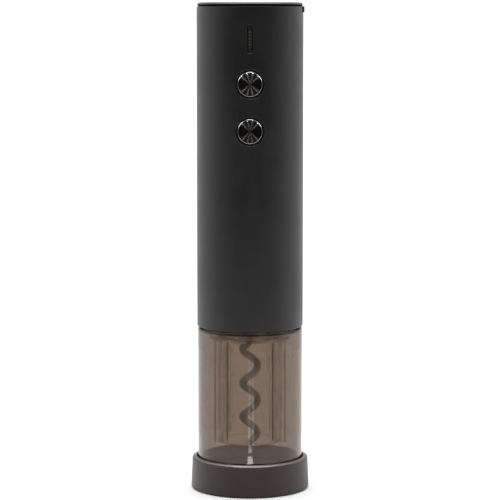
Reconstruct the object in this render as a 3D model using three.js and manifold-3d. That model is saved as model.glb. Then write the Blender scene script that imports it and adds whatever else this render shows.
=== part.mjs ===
// Electric wine opener with its foil cutter base: millimetres, +Z up, front towards -Y.
// The origin is the centre of the base's underside, on the axis of the worm.
import * as THREE from "three";
import { mergeVertices } from "three/addons/utils/BufferGeometryUtils.js";
import Module from "manifold-3d";

const wasm = await Module();
wasm.setup();

// ---------- clearances ----------
const seat = 0.3; // gap between pieces that rest on or in each other
const running = 0.1; // radial gap of a shaft or a wheel in its bore
const endPlay = 0.3; // gap at the ends of turning pieces

// ---------- facets round a circle ----------
const wideSides = 40;
const innerSides = 28;
const midSides = 20;
const smallSides = 12;
const cutterSides = 16;

// ---------- body ----------
const bodyRadius = 25;
const bodyWall = 2;
const seamGap = 1;
const headRoom = 9.3; // from the frame's top plate to the body's top edge
const edgeRound = 0.4;

// ---------- top cap ----------
const capThickness = 1;
const capInset = 0.2;
const capGroove = 0.6;
const capGrooveDepth = 0.5;
const capRest = 0.1; // gap between the cap's step and the body's top edge
const capNeckWall = 1.6;
const capNeckDepth = 4.6;
const capRound = 0.8;

// ---------- clear sleeve and cork tube ----------
const sleeveInset = 0.3;
const sleeveWall = 2;
const shoulderThickness = 1;
const sleeveLength = 68.4;
const sleeveNeckLength = 8.6;
const corkBoreRadius = 13.2;
const corkTubeWall = 1.7;
const corkTubeLength = 50.5;
const corkFlangeThickness = 1.5;
const corkRibThickness = 1.2;
const corkRibGap = 0.4; // to the sleeve
const corkRibStart = 2; // above the tube's lower edge
const corkGripStart = 6;
const corkRibCount = 4;
const corkGripHeight = 0.7; // ridges in the bore that keep a cork from turning
const corkGripWidth = 1.2;

// ---------- collar in the seam ----------
const collarWall = 1;
const collarFlange = 0.4;
const collarFlangeInset = 1.5;

// ---------- base with the foil cutter ----------
const baseWall = 2.7; // at the foot, below the recess
const baseTaper = 0.6; // how much narrower the rim is than the foot
const baseHeight = 15.3;
const baseRecessGap = 0.6; // from the sleeve to the base's recess
const shelfHeight = 8;
const shelfThickness = 2.4;
const neckHoleRadius = 16.5;
const neckHoleLip = 1.5;
const coverThickness = 2;
const coverSeatWidth = 2.4; // bottom of the outer wall
const cutterGap = 0.7; // from a wheel's outer edge to the wall
const cutterThickness = 1.2;
const cutterReach = 1.6; // how far a wheel stands into the neck hole
const cutterPinRadius = 0.9;
const cutterCount = 4;
const baseScrewShift = 1.6; // outside the circle of the cutter pins
const bossWall = 1.5;
const baseFootRound = 0.8;
const baseRimRound = 1.2;

// ---------- worm and chuck ----------
const wormRadius = 5.25;
const wormWire = 1.7;
const wormPitch = 16.3;
const wormReach = 54; // from the chuck to the point
const wormPointLength = 5;
const wormBareLength = 2.2; // straight shank below the chuck
const wormEntryLength = 4.1; // height over which the shank swings out to the coil
const wormExitLength = 8; // height over which the coil closes on the axis
const wormLeftTurnDrop = 23.3; // a turn reaches furthest to -X this far below the chuck
const wormShankGrip = 6;
const chuckRadius = 6;
const chuckLength = 12;
const chuckDrop = 3.4; // below the shoulder of the sleeve
const chuckWeb = 1; // between its two sockets
const chuckRound = 1;

// ---------- gear train ----------
const ringWall = 5.9; // from the ring gear's pitch circle to its outside
const sunTeeth = 12;
const planetTeeth = 15;
const ringTeeth = sunTeeth + 2 * planetTeeth;
const pressureAngle = THREE.MathUtils.degToRad(25);
const gearBacklash = 0.16;
const addendumShare = 0.9; // of the module
const dedendumShare = 1.15;
const planetCount = 3;
const planetFace = 7.2;
const planetPinRadius = 1.5;
const carrierThickness = 2.2;
const noseThickness = 4;
const bushWall = 1.6;
const outputShaftRadius = 3.5;

// ---------- motor ----------
const motorRadius = 12.2;
const motorLength = 30.8;
const motorPlateThickness = 2.4;
const motorShaftRadius = 1;
const motorBossRadius = 3.5;
const motorBossHeight = 1.4;
const motorScrewSpread = 8.5;
const endCapRadius = 9.5;
const endCapThickness = 2.6;
const screwRadius = 1;
const screwHeadRadius = 1.9;
const screwHeadHeight = 1.1;
const motorScrewBite = 3;
const noseFloor = 1; // left under the gearbox screws
const terminalSpread = 6;
const terminalWidth = 2.4;
const terminalThickness = 0.6;
const terminalHeight = 2;

// ---------- frame, cell and board ----------
const frameGap = 3.6; // from the motor's can to the frame's lower plate
const framePlate = 2;
const frameRail = 2;
const frameSkirt = 1.4;
const frameSkirtDepth = 6;
const cellRadius = 9.2;
const cellLength = 65;
const cellOffset = 5.5;
const tabThickness = 0.4;
const tabWidth = 7;
const tabOverhang = 1; // in front of the cell
const boardThickness = 1.6;
const boardInset = 5.7; // from the inside of the body to the board's back
const boardMargin = 0.8; // beside the board
const boardBottomGap = 8; // from the frame's lower plate
const leadRadius = 0.6;
const leadReach = 6; // soldered length on the board
const leadNotchMargin = 2;

// ---------- front controls ----------
const buttonDrop = 35.8; // from the body's top edge to the upper button
const buttonPitch = 21.6;
const buttonRadius = 5.3;
const buttonFace = 1.2;
const buttonTravel = 0.7;
const buttonInset = 0.25; // the face lies this far behind the body's front
const bezelRadius = 5.95;
const pocketRadius = 6.7;
const pocketDepth = 2.4;
const pocketFloor = 1.6;
const pocketRim = 1.5;
const stemRadius = 2;
const stemGap = 0.3; // round the stem in the pocket's floor
const stemEntry = 0.4; // how far the stem starts inside its switch
const bezelGap = 0.2; // round the button
const bezelChamfer = 0.35;
const switchSize = 6;
const switchHeight = 1.6;
const windowDrop = 15.3;
const windowLength = 12.9;
const windowWidth = 2.7;
const windowDepth = 0.5;
const lensLip = 1;
const lensFlange = 0.8;
const lensSetback = 0.45; // behind the inside of the body
const lightBarWidth = 1.6;
const lightBarLength = 8;

// ---------- charging socket ----------
const portWidth = 8;
const portHeight = 2.8;
const portDepth = 7;
const portDrop = 1.6; // from the body's top edge to the socket's middle
const portWall = 0.5;
const flapWidth = 10;
const flapHeight = 3;
const flapThickness = 0.45;
const flapPlugDepth = 1.4;
const flapPlugGap = 0.3;
const flapGap = 0.05; // the soft flap lies on the body
const portBoardThickness = 1.2;
const portBoardWidth = 12;
const portBoardLength = 9.7;
const portBoardGap = 1; // to the inside of the body
const portPost = 2;

// ---------- places worked out from the sizes above ----------
const sleeveRadius = bodyRadius - sleeveInset;
const sleeveBore = sleeveRadius - sleeveWall;
const sleeveBottom = shelfHeight + seat;
const sleeveTop = sleeveBottom + sleeveLength;
const bodyBore = bodyRadius - bodyWall;
const bodyBottom = sleeveTop + seamGap;
const innerRadius = bodyBore - seat;
const sleeveNeckTop = sleeveTop + sleeveNeckLength;
const sleeveNeckRadius = innerRadius - collarWall - seat;
const sleeveNeckBore = sleeveNeckRadius - sleeveWall;

const gearModule = (2 * (innerRadius - ringWall)) / ringTeeth;
const addendum = addendumShare * gearModule;
const dedendum = dedendumShare * gearModule;
const pitchRadius = (teeth) => (teeth * gearModule) / 2;
const planetOrbit = pitchRadius(sunTeeth) + pitchRadius(planetTeeth);
const ringTipRadius = pitchRadius(ringTeeth) - addendum;
const carrierRadius = ringTipRadius - 2 * seat;

const noseBottom = sleeveNeckTop + seat;
const noseTop = noseBottom + noseThickness;
const outputCarrierBottom = noseTop + endPlay;
const outputPlanetBottom = outputCarrierBottom + carrierThickness + endPlay;
const outputPlanetTop = outputPlanetBottom + planetFace;
const outputPinTop = outputPlanetTop + endPlay;
const firstCarrierBottom = outputPinTop + endPlay;
const firstPlanetBottom = firstCarrierBottom + carrierThickness + endPlay;
const firstPlanetTop = firstPlanetBottom + planetFace;
const firstPinTop = firstPlanetTop + endPlay;
const motorPlateBottom = firstPinTop + endPlay;
const motorPlateTop = motorPlateBottom + motorPlateThickness;
const motorBottom = motorPlateTop + seat;
const motorTop = motorBottom + motorLength;
const frameBottom = motorTop + frameGap;
const frameFloor = frameBottom + framePlate;
const cellBottom = frameFloor + tabThickness + 2 * seat;
const cellTop = cellBottom + cellLength;
const frameCeiling = cellTop + tabThickness + 2 * seat;
const frameTop = frameCeiling + framePlate;
const bodyTop = frameTop + headRoom;
const boardBottom = frameFloor + boardBottomGap;
const boardTop = frameTop;
const boardBack = boardInset - innerRadius;
const boardFront = boardBack - boardThickness;
const boardHalfWidth = Math.sqrt(innerRadius ** 2 - boardFront ** 2) - boardMargin;
const cellFront = cellOffset - cellRadius;

const chuckBottom = sleeveTop - chuckDrop;
const chuckTop = chuckBottom + chuckLength;
const chuckMiddle = chuckBottom + wormShankGrip;

const upperButtonHeight = bodyTop - buttonDrop;
const lowerButtonHeight = upperButtonHeight - buttonPitch;
const windowHeight = bodyTop - windowDrop;
const portMiddle = bodyTop - portDrop;
const portBottom = portMiddle - portHeight / 2;
const portTop = portMiddle + portHeight / 2;

// ---------- shapes ----------
// A shape is a geometry until it is cut or joined, and a manifold solid afterwards.
function solidOf(shape) {
  if (!shape.isBufferGeometry) return shape;
  const bare = shape.clone();
  bare.deleteAttribute("normal");
  bare.deleteAttribute("uv");
  const merged = mergeVertices(bare, 1e-5);
  return new wasm.Manifold(
    new wasm.Mesh({
      numProp: 3,
      vertProperties: merged.attributes.position.array,
      triVerts: new Uint32Array(merged.index.array),
    }),
  );
}

const join = (...shapes) => shapes.map(solidOf).reduce((all, one) => all.add(one));
const cut = (shape, ...tools) => tools.map(solidOf).reduce((all, one) => all.subtract(one), solidOf(shape));

function geometryOf(shape) {
  const mesh = solidOf(shape).getMesh();
  const geometry = new THREE.BufferGeometry();
  geometry.setAttribute("position", new THREE.BufferAttribute(new Float32Array(mesh.vertProperties), 3));
  geometry.setIndex(new THREE.BufferAttribute(new Uint32Array(mesh.triVerts), 1));
  geometry.computeVertexNormals();
  return geometry;
}

// Turned about Z from [radius, height] pairs that run up the outside and back down the inside.
function turned(profile, sides = wideSides) {
  const points = profile.map(([radius, height]) => new THREE.Vector2(radius, height));
  return new THREE.LatheGeometry(points, sides).rotateX(Math.PI / 2);
}

const ring = (inner, outer, low, high, sides = wideSides) =>
  turned([[inner, low], [outer, low], [outer, high], [inner, high], [inner, low]], sides);

const disc = (radius, low, high, sides = midSides) =>
  new THREE.CylinderGeometry(radius, radius, high - low, sides)
    .rotateX(Math.PI / 2)
    .translate(0, 0, (low + high) / 2);

const rodAt = (x, y, radius, low, high, sides = smallSides) =>
  disc(radius, low, high, sides).translate(x, y, 0);

// A round bar along Y, from near to far.
const barAlongY = (x, z, radius, near, far, sides = midSides) =>
  new THREE.CylinderGeometry(radius, radius, far - near, sides).translate(x, (near + far) / 2, z);

function box(low, high) {
  const size = high.map((value, i) => value - low[i]);
  return new THREE.BoxGeometry(...size).translate(...low.map((value, i) => value + size[i] / 2));
}

// A slot with round ends, long along Z and extruded along Y.
function capsuleAlongY(z, width, length, near, far) {
  const radius = width / 2;
  const straight = length / 2 - radius;
  const outline = new THREE.Shape();
  outline.absarc(0, straight, radius, 0, Math.PI);
  outline.absarc(0, -straight, radius, Math.PI, 2 * Math.PI);
  const settings = { depth: far - near, bevelEnabled: false, curveSegments: 8 };
  return new THREE.ExtrudeGeometry(outline, settings).rotateX(Math.PI / 2).translate(0, far, z);
}

const spot = (radius, turn) => [radius * Math.cos(turn), radius * Math.sin(turn)];
const evenly = (count, first = 0) =>
  Array.from({ length: count }, (_, i) => first + (i * 2 * Math.PI) / count);

// ---------- involute gears ----------
const involute = (angle) => Math.tan(angle) - angle;

// Points of an external gear's outline; thinning takes that much off each tooth at the pitch circle.
function gearPoints(teeth, head, foot, thinning) {
  const pitch = pitchRadius(teeth);
  const baseCircle = pitch * Math.cos(pressureAngle);
  const root = pitch - foot;
  const tip = pitch + head;
  const halfPitchTooth = Math.PI / (2 * teeth) - thinning / (2 * pitch) + involute(pressureAngle);
  const halfTooth = (radius) => halfPitchTooth - involute(Math.acos(Math.min(1, baseCircle / radius)));
  const flank = [root, pitch, tip].map((radius) => [radius, halfTooth(Math.max(radius, baseCircle))]);
  const points = [];
  for (const centre of evenly(teeth)) {
    for (const [radius, half] of flank) points.push(spot(radius, centre - half));
    for (const [radius, half] of flank.toReversed()) points.push(spot(radius, centre + half));
  }
  return points.map(([x, y]) => new THREE.Vector2(x, y));
}

const flatExtrusion = (shape, low, high, curveSegments = 6) =>
  new THREE.ExtrudeGeometry(shape, { depth: high - low, bevelEnabled: false, curveSegments })
    .translate(0, 0, low);

// A gear wheel with a tooth on +X turned by turn, and a round bore.
function gearWheel(teeth, bore, low, high, turn = 0) {
  const shape = new THREE.Shape(gearPoints(teeth, addendum, dedendum, gearBacklash / 2));
  if (bore) shape.holes.push(new THREE.Path().absarc(0, 0, bore, 0, 2 * Math.PI, true));
  return flatExtrusion(shape, low, high).rotateZ(turn);
}

// ---------- scene graph ----------
const clearPieces = ["clear_sleeve", "cork_tube"];
const wineOpener = new THREE.Group();

function piece(name, shape, color, roughness, metalness = 0) {
  const material = new THREE.MeshStandardMaterial({ color, roughness, metalness });
  if (clearPieces.includes(name)) Object.assign(material, { transparent: true, opacity: 0.45 });
  const mesh = new THREE.Mesh(geometryOf(shape), material);
  mesh.name = name;
  wineOpener.add(mesh);
  return mesh;
}

const paint = {
  softBlack: 0x232324,
  darkPlastic: 0x2e2c2b,
  smoke: 0x6d5f58,
  blackNickel: 0x2b2c2f,
  chrome: 0xb9babd,
  steel: 0x9a9ba0,
  coating: 0x4a4644,
  brass: 0xb08d4a,
  nylon: 0xd9d6cc,
  boardGreen: 0x1f5a38,
  cellBlue: 0x2d5b9a,
  red: 0xa8231d,
  black: 0x151515,
};

// A pan-head screw that points down from the underside of its head.
function screw(x, y, headBottom, length) {
  return join(
    rodAt(x, y, screwHeadRadius, headBottom, headBottom + screwHeadHeight),
    rodAt(x, y, screwRadius, headBottom - length, headBottom + screwHeadHeight / 2),
  );
}

// ---------- base with the foil cutter ----------
const baseRecess = sleeveRadius + baseRecessGap;
const baseRadius = baseRecess + baseWall;
const baseTopRadius = baseRadius - baseTaper;
const coverRadius = baseRadius - coverSeatWidth - seat;
const shelfBottom = shelfHeight - shelfThickness;
const socketTop = shelfHeight - shelfThickness / 3; // of the cutter pins
const bossTop = shelfHeight - shelfThickness / 2;
const cutterRadius = (coverRadius + seat - cutterGap - neckHoleRadius + cutterReach) / 2;
const cutterOrbit = neckHoleRadius - cutterReach + cutterRadius;
const cutterMiddle = (coverThickness + shelfBottom) / 2;
const cutterSpots = evenly(cutterCount).map((turn) => spot(cutterOrbit, turn));
const cutterPocket = cutterRadius + 2 * seat;
const baseScrewSpots = evenly(2, Math.PI / 4).map((turn) => spot(cutterOrbit + baseScrewShift, turn));

const baseBody = turned([
  [neckHoleRadius, coverThickness + seat],
  [neckHoleRadius + neckHoleLip, coverThickness + seat],
  [neckHoleRadius + neckHoleLip, shelfBottom],
  [coverRadius + seat, shelfBottom],
  [coverRadius + seat, 0],
  [baseRadius - baseFootRound, 0],
  [baseRadius, baseFootRound],
  [baseTopRadius, baseHeight - baseRimRound],
  [baseTopRadius - baseRimRound, baseHeight],
  [baseRecess, baseHeight],
  [baseRecess, shelfHeight],
  [neckHoleRadius, shelfHeight],
  [neckHoleRadius, coverThickness + seat],
]);
const screwBosses = baseScrewSpots.map(([x, y]) =>
  rodAt(x, y, screwRadius + bossWall, coverThickness + seat, bossTop));
const screwBores = baseScrewSpots.map(([x, y]) => rodAt(x, y, screwRadius + running, -seat, bossTop));
const pinSockets = cutterSpots.map(([x, y]) =>
  rodAt(x, y, cutterPinRadius + running, coverThickness, socketTop));
const cutterWindows = cutterSpots.map(([x, y]) =>
  rodAt(x, y, cutterPocket, coverThickness, shelfBottom, midSides));
piece("base_shell", cut(join(baseBody, ...screwBosses), ...screwBores, ...pinSockets, ...cutterWindows),
  paint.darkPlastic, 0.6);

const coverPlate = ring(neckHoleRadius, coverRadius, 0, coverThickness);
const headPockets = baseScrewSpots.map(([x, y]) =>
  rodAt(x, y, screwHeadRadius + seat, -seat, screwHeadHeight + seat));
piece("base_cover", cut(coverPlate, ...headPockets, ...screwBores), paint.darkPlastic, 0.65);

baseScrewSpots.forEach(([x, y], i) => {
  const head = rodAt(x, y, screwHeadRadius, seat / 2, seat / 2 + screwHeadHeight);
  const shank = rodAt(x, y, screwRadius, screwHeadHeight / 2, bossTop - seat);
  piece(`base_screw_${i + 1}`, join(head, shank), paint.steel, 0.35, 1);
});

cutterSpots.forEach(([x, y], i) => {
  const bevel = cutterThickness / 2;
  const wheel = turned([
    [cutterPinRadius + running, cutterMiddle - bevel],
    [cutterRadius - 2 * bevel, cutterMiddle - bevel],
    [cutterRadius, cutterMiddle],
    [cutterRadius - 2 * bevel, cutterMiddle + bevel],
    [cutterPinRadius + running, cutterMiddle + bevel],
    [cutterPinRadius + running, cutterMiddle - bevel],
  ], cutterSides);
  piece(`cutter_wheel_${i + 1}`, wheel.translate(x, y, 0), paint.steel, 0.25, 1);
  const pin = rodAt(x, y, cutterPinRadius, coverThickness + seat, socketTop - seat);
  piece(`cutter_pin_${i + 1}`, pin, paint.steel, 0.3, 1);
});

// ---------- clear sleeve, cork tube and collar ----------
const sleeve = turned([
  [sleeveBore, sleeveBottom],
  [sleeveRadius, sleeveBottom],
  [sleeveRadius, sleeveTop - edgeRound],
  [sleeveRadius - edgeRound, sleeveTop],
  [sleeveNeckRadius, sleeveTop],
  [sleeveNeckRadius, sleeveNeckTop],
  [sleeveNeckBore, sleeveNeckTop],
  [sleeveNeckBore, sleeveTop - shoulderThickness],
  [sleeveBore, sleeveTop - shoulderThickness],
  [sleeveBore, sleeveBottom],
]);
piece("clear_sleeve", sleeve, paint.smoke, 0.12);

const corkTubeTop = sleeveTop - chuckDrop - seat;
const corkTubeRadius = corkBoreRadius + corkTubeWall;
const corkTubeBottom = corkTubeTop - corkTubeLength;
const corkFlangeRadius = sleeveNeckBore - seat;
const chuckHole = chuckRadius + 2 * seat;
const corkCup = turned([
  [corkBoreRadius, corkTubeBottom],
  [corkTubeRadius, corkTubeBottom],
  [corkTubeRadius, corkTubeTop - corkFlangeThickness],
  [corkFlangeRadius, corkTubeTop - corkFlangeThickness],
  [corkFlangeRadius, corkTubeTop],
  [chuckHole, corkTubeTop],
  [chuckHole, corkTubeTop - corkFlangeThickness],
  [corkBoreRadius, corkTubeTop - corkFlangeThickness],
  [corkBoreRadius, corkTubeBottom],
], innerSides);
const corkRibTurns = evenly(corkRibCount, Math.PI / corkRibCount);
const corkRibs = corkRibTurns.map((turn) =>
  box(
    [corkBoreRadius + corkTubeWall / 2, -corkRibThickness / 2, corkTubeBottom + corkRibStart],
    [sleeveBore - corkRibGap, corkRibThickness / 2, sleeveTop - shoulderThickness - seat],
  ).rotateZ(turn));
const corkGrips = corkRibTurns.map((turn) =>
  box(
    [corkBoreRadius - corkGripHeight, -corkGripWidth / 2, corkTubeBottom + corkGripStart],
    [corkBoreRadius + corkTubeWall / 2, corkGripWidth / 2, corkTubeTop - corkFlangeThickness / 2],
  ).rotateZ(turn));
const ribTrim = ring(corkFlangeRadius, bodyRadius, corkTubeTop - corkFlangeThickness / 2, sleeveTop);
piece("cork_tube", cut(join(corkCup, ...corkRibs, ...corkGrips), ribTrim), paint.smoke, 0.12);

const collarBottom = sleeveTop + seat;
const collar = turned([
  [sleeveNeckRadius + seat, collarBottom],
  [bodyRadius - collarFlangeInset, collarBottom],
  [bodyRadius - collarFlangeInset, collarBottom + collarFlange],
  [innerRadius, collarBottom + collarFlange],
  [innerRadius, sleeveNeckTop],
  [sleeveNeckRadius + seat, sleeveNeckTop],
  [sleeveNeckRadius + seat, collarBottom],
], innerSides);
piece("lower_collar", collar, paint.black, 0.7);

// ---------- worm and chuck ----------
const wormTip = chuckBottom - wormReach;
const shankEnd = chuckBottom - wormBareLength;

// The wire's middle line: down the shank, out to the coil, and back in to the point.
class WormLine extends THREE.Curve {
  constructor(top, bottom) {
    super();
    this.top = top;
    this.bottom = bottom;
  }
  getPoint(share) {
    const height = THREE.MathUtils.lerp(this.top, this.bottom, share);
    const leaving = 1 - THREE.MathUtils.smoothstep(height, shankEnd - wormEntryLength, shankEnd);
    const closingStart = wormTip - wormExitLength / 4;
    const closing = THREE.MathUtils.smoothstep(height, closingStart, wormTip + wormExitLength);
    const reach = (wormRadius - wormWire) * leaving * closing;
    const turn = Math.PI + (2 * Math.PI * (height - chuckBottom + wormLeftTurnDrop)) / wormPitch;
    return new THREE.Vector3(reach * Math.cos(turn), reach * Math.sin(turn), height);
  }
}
const wireOutline = new THREE.Shape().absarc(0, 0, wormWire, 0, 2 * Math.PI);
const wormLine = new WormLine(chuckMiddle - seat, wormTip + wormPointLength);
const wire = new THREE.ExtrudeGeometry(wireOutline, {
  steps: 50, curveSegments: 5, extrudePath: wormLine, bevelEnabled: false,
});
const tipStart = wormLine.getPoint(1);
const tipHeading = new THREE.Vector3(0, 0, wormTip).sub(tipStart);
const tipTurn = new THREE.Quaternion().setFromUnitVectors(
  new THREE.Vector3(0, 1, 0), tipHeading.clone().normalize());
const point = new THREE.ConeGeometry(wormWire, tipHeading.length(), 10)
  .translate(0, tipHeading.length() / 2, 0)
  .applyQuaternion(tipTurn)
  .translate(tipStart.x, tipStart.y, tipStart.z);
const elbow = new THREE.SphereGeometry(wormWire, 8, 5).translate(tipStart.x, tipStart.y, tipStart.z);
piece("corkscrew", join(wire, elbow, point), paint.coating, 0.4, 0.6);

const chuck = turned([
  [wormWire + running, chuckBottom],
  [chuckRadius - chuckRound, chuckBottom],
  [chuckRadius, chuckBottom + chuckRound],
  [chuckRadius, chuckTop],
  [outputShaftRadius + running, chuckTop],
  [outputShaftRadius + running, chuckMiddle + chuckWeb],
  [wormWire + running, chuckMiddle + chuckWeb],
  [wormWire + running, chuckBottom],
], midSides);
piece("worm_chuck", chuck, paint.steel, 0.35, 1);

// ---------- gear train ----------
const bushBore = outputShaftRadius + running;
const bushRadius = bushBore + bushWall;
const gearScrewOrbit = (pitchRadius(ringTeeth) + dedendum + innerRadius) / 2;
const gearScrewSpots = evenly(planetCount, Math.PI / 2).map((turn) => spot(gearScrewOrbit, turn));
const gearScrewBores = (low, high) =>
  gearScrewSpots.map(([x, y]) => rodAt(x, y, screwRadius + running, low, high));

const nose = ring(bushRadius + running, innerRadius, noseBottom, noseTop, innerSides);
piece("gearbox_nose", cut(nose, ...gearScrewBores(noseBottom + noseFloor, noseTop + seat)), paint.black, 0.5);

const bush = ring(bushBore, bushRadius, noseBottom, noseTop, midSides);
piece("output_bush", bush, paint.brass, 0.35, 1);

const planetTurns = evenly(planetCount);
const planetPins = (low, high) =>
  planetTurns.map((turn) => rodAt(...spot(planetOrbit, turn), planetPinRadius, low, high));

const outputShaft =
  disc(outputShaftRadius, chuckMiddle + chuckWeb + seat, outputCarrierBottom + carrierThickness / 2);
const outputDisc =
  disc(carrierRadius, outputCarrierBottom, outputCarrierBottom + carrierThickness, innerSides);
const outputPins = planetPins(outputCarrierBottom + carrierThickness / 2, outputPinTop);
piece("output_carrier", join(outputDisc, outputShaft, ...outputPins), paint.steel, 0.4, 1);

const firstDisc =
  disc(carrierRadius, firstCarrierBottom, firstCarrierBottom + carrierThickness, innerSides);
const secondSun = gearWheel(sunTeeth, 0, outputPlanetBottom, firstCarrierBottom + carrierThickness / 2);
const firstPins = planetPins(firstCarrierBottom + carrierThickness / 2, firstPinTop);
piece("first_carrier", join(firstDisc, secondSun, ...firstPins), paint.steel, 0.4, 1);

// Each planet shows a tooth to the ring and a space to the sun.
function planets(stage, low, high) {
  planetTurns.forEach((turn, i) => {
    const [x, y] = spot(planetOrbit, turn);
    const wheel = gearWheel(planetTeeth, planetPinRadius + running, low, high, turn).translate(x, y, 0);
    piece(`${stage}_planet_${i + 1}`, wheel, paint.nylon, 0.45);
  });
}
planets("output", outputPlanetBottom, outputPlanetTop);
planets("first", firstPlanetBottom, firstPlanetTop);

const ringOutline = new THREE.Shape().absarc(0, 0, innerRadius, 0, 2 * Math.PI);
const ringSpace = gearPoints(ringTeeth, dedendum, addendum, -gearBacklash / 2).reverse();
ringOutline.holes.push(new THREE.Path(ringSpace));
const ringGear = flatExtrusion(ringOutline, noseTop + seat, motorPlateBottom - seat, 16);
piece("ring_gear", cut(ringGear, ...gearScrewBores(noseTop, motorPlateBottom)), paint.nylon, 0.5);

// ---------- motor ----------
const motorScrewSpots = [-motorScrewSpread, motorScrewSpread].map((x) => [x, 0]);
const motorScrewTip = motorBottom + motorScrewBite;
const motorScrewHeadTop = motorPlateBottom + screwHeadHeight + seat / 2;
const plateCentreHole = disc(motorBossRadius + seat, motorPlateBottom - seat, motorPlateTop + seat);
const headSinks = motorScrewSpots.map(([x, y]) =>
  rodAt(x, y, screwHeadRadius + seat, motorPlateBottom - seat, motorScrewHeadTop + running));
const plateBores = motorScrewSpots.map(([x, y]) =>
  rodAt(x, y, screwRadius + running, motorPlateBottom, motorPlateTop + seat));
const motorPlate = disc(innerRadius, motorPlateBottom, motorPlateTop, innerSides);
const plateScrewBores = gearScrewBores(motorPlateBottom - seat, motorPlateTop + seat);
piece("motor_plate", cut(motorPlate, plateCentreHole, ...headSinks, ...plateBores, ...plateScrewBores),
  paint.steel, 0.5, 1);

motorScrewSpots.forEach(([x, y], i) => {
  const head = rodAt(x, y, screwHeadRadius, motorScrewHeadTop - screwHeadHeight, motorScrewHeadTop);
  const shank = rodAt(x, y, screwRadius, motorScrewHeadTop - screwHeadHeight / 2, motorScrewTip);
  piece(`motor_screw_${i + 1}`, join(head, shank), paint.steel, 0.35, 1);
});

const gearScrewLength = motorPlateTop - noseBottom - noseFloor;
gearScrewSpots.forEach(([x, y], i) => {
  piece(`gearbox_screw_${i + 1}`, screw(x, y, motorPlateTop + seat, gearScrewLength), paint.steel, 0.35, 1);
});

const shaftBottom = firstPlanetBottom + endPlay;
const shaftTop = motorTop - endCapThickness - 2 * seat;
const motorCase = join(
  disc(motorRadius, motorBottom, motorTop, midSides),
  disc(motorBossRadius, motorBottom - motorBossHeight, motorBottom + seat),
);
const shaftHoleBottom = motorBottom - 2 * motorBossHeight;
const shaftHole = disc(motorShaftRadius + running, shaftHoleBottom, shaftTop + seat, smallSides);
const capRecess = disc(endCapRadius + seat, motorTop - endCapThickness - seat, motorTop + seat);
const screwHoles = motorScrewSpots.map(([x, y]) =>
  rodAt(x, y, screwRadius + running, motorBottom - seat, motorScrewTip + seat));
piece("motor_can", cut(motorCase, shaftHole, capRecess, ...screwHoles), paint.steel, 0.35, 1);

const terminals = [-1, 1].map((side) =>
  box(
    [side * terminalSpread - terminalWidth / 2, -terminalThickness / 2, motorTop - endCapThickness / 2],
    [side * terminalSpread + terminalWidth / 2, terminalThickness / 2, motorTop + terminalHeight],
  ));
piece("motor_end_cap", join(disc(endCapRadius, motorTop - endCapThickness, motorTop + seat), ...terminals),
  paint.black, 0.5);

piece("motor_shaft", disc(motorShaftRadius, shaftBottom, shaftTop, smallSides), paint.steel, 0.25, 1);
const pinionTop = firstPlanetTop + endPlay;
const pinion = gearWheel(sunTeeth, motorShaftRadius + running, shaftBottom, pinionTop);
piece("motor_pinion", pinion, paint.brass, 0.35, 1);

// ---------- frame, cell and board ----------
const railInner = cellRadius + 2 * seat;
const railOuter = railInner + frameRail;
const railFront = boardBack + seat;
const railBack = Math.sqrt(innerRadius ** 2 - railOuter ** 2) - frameRail;
const leadSpread = terminalSpread;
const notchHalf = leadSpread + leadNotchMargin;
const skirtBore = motorRadius + seat;
const notchBack = -Math.sqrt(skirtBore ** 2 - notchHalf ** 2);
const leadNotch = box([-notchHalf, -bodyRadius, motorTop + seat], [notchHalf, notchBack, frameFloor + seat]);
const portShelfTop = portBottom - 2 * seat - portBoardThickness;
const portBoardFront = innerRadius - portBoardGap;
const portBoardBack = portBoardFront - portBoardLength;
const postBack = portBoardBack + seat;
const postHalf = portBoardWidth / 2 - portPost / 2;
const frameParts = [
  disc(innerRadius, frameBottom, frameFloor, innerSides),
  ring(skirtBore, skirtBore + frameSkirt, frameBottom - frameSkirtDepth, frameBottom + seat, innerSides),
  disc(innerRadius - capNeckWall - seat, frameCeiling, frameTop, innerSides),
  box([-railOuter, railFront, frameFloor - seat], [-railInner, railBack, frameCeiling + seat]),
  box([railInner, railFront, frameFloor - seat], [railOuter, railBack, frameCeiling + seat]),
  box([postBack, -postHalf, frameTop - seat], [postBack + portPost, postHalf, portShelfTop]),
];
const boardRoom = box([-bodyRadius, -bodyRadius, frameFloor + seat], [bodyRadius, railFront, bodyTop]);
piece("inner_frame", cut(join(...frameParts), leadNotch, boardRoom), paint.darkPlastic, 0.6);

piece("battery_cell", rodAt(0, cellOffset, cellRadius, cellBottom, cellTop, midSides), paint.cellBlue, 0.45);
const tabFront = cellFront - tabOverhang;
const tabAt = (low) =>
  box([-tabWidth / 2, tabFront, low], [tabWidth / 2, cellOffset, low + tabThickness]);
piece("cell_tab_bottom", tabAt(frameFloor + seat), paint.steel, 0.35, 1);
piece("cell_tab_top", tabAt(cellTop + seat), paint.steel, 0.35, 1);

piece("control_board",
  box([-boardHalfWidth, boardFront, boardBottom], [boardHalfWidth, boardBack, boardTop]),
  paint.boardGreen, 0.5);

// ---------- front controls ----------
const pocketBottom = -bodyRadius + pocketDepth;
const buttonFront = -bodyRadius + buttonInset;
const buttonBack = buttonFront + buttonFace;
const switchFront = boardFront - switchHeight;
const bezelHeight = pocketDepth - seat;
const bezelBore = buttonRadius + bezelGap;
const wellDepth = stemEntry + buttonTravel + seat / 2;
const buttonHeights = { upper: upperButtonHeight, lower: lowerButtonHeight };

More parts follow.
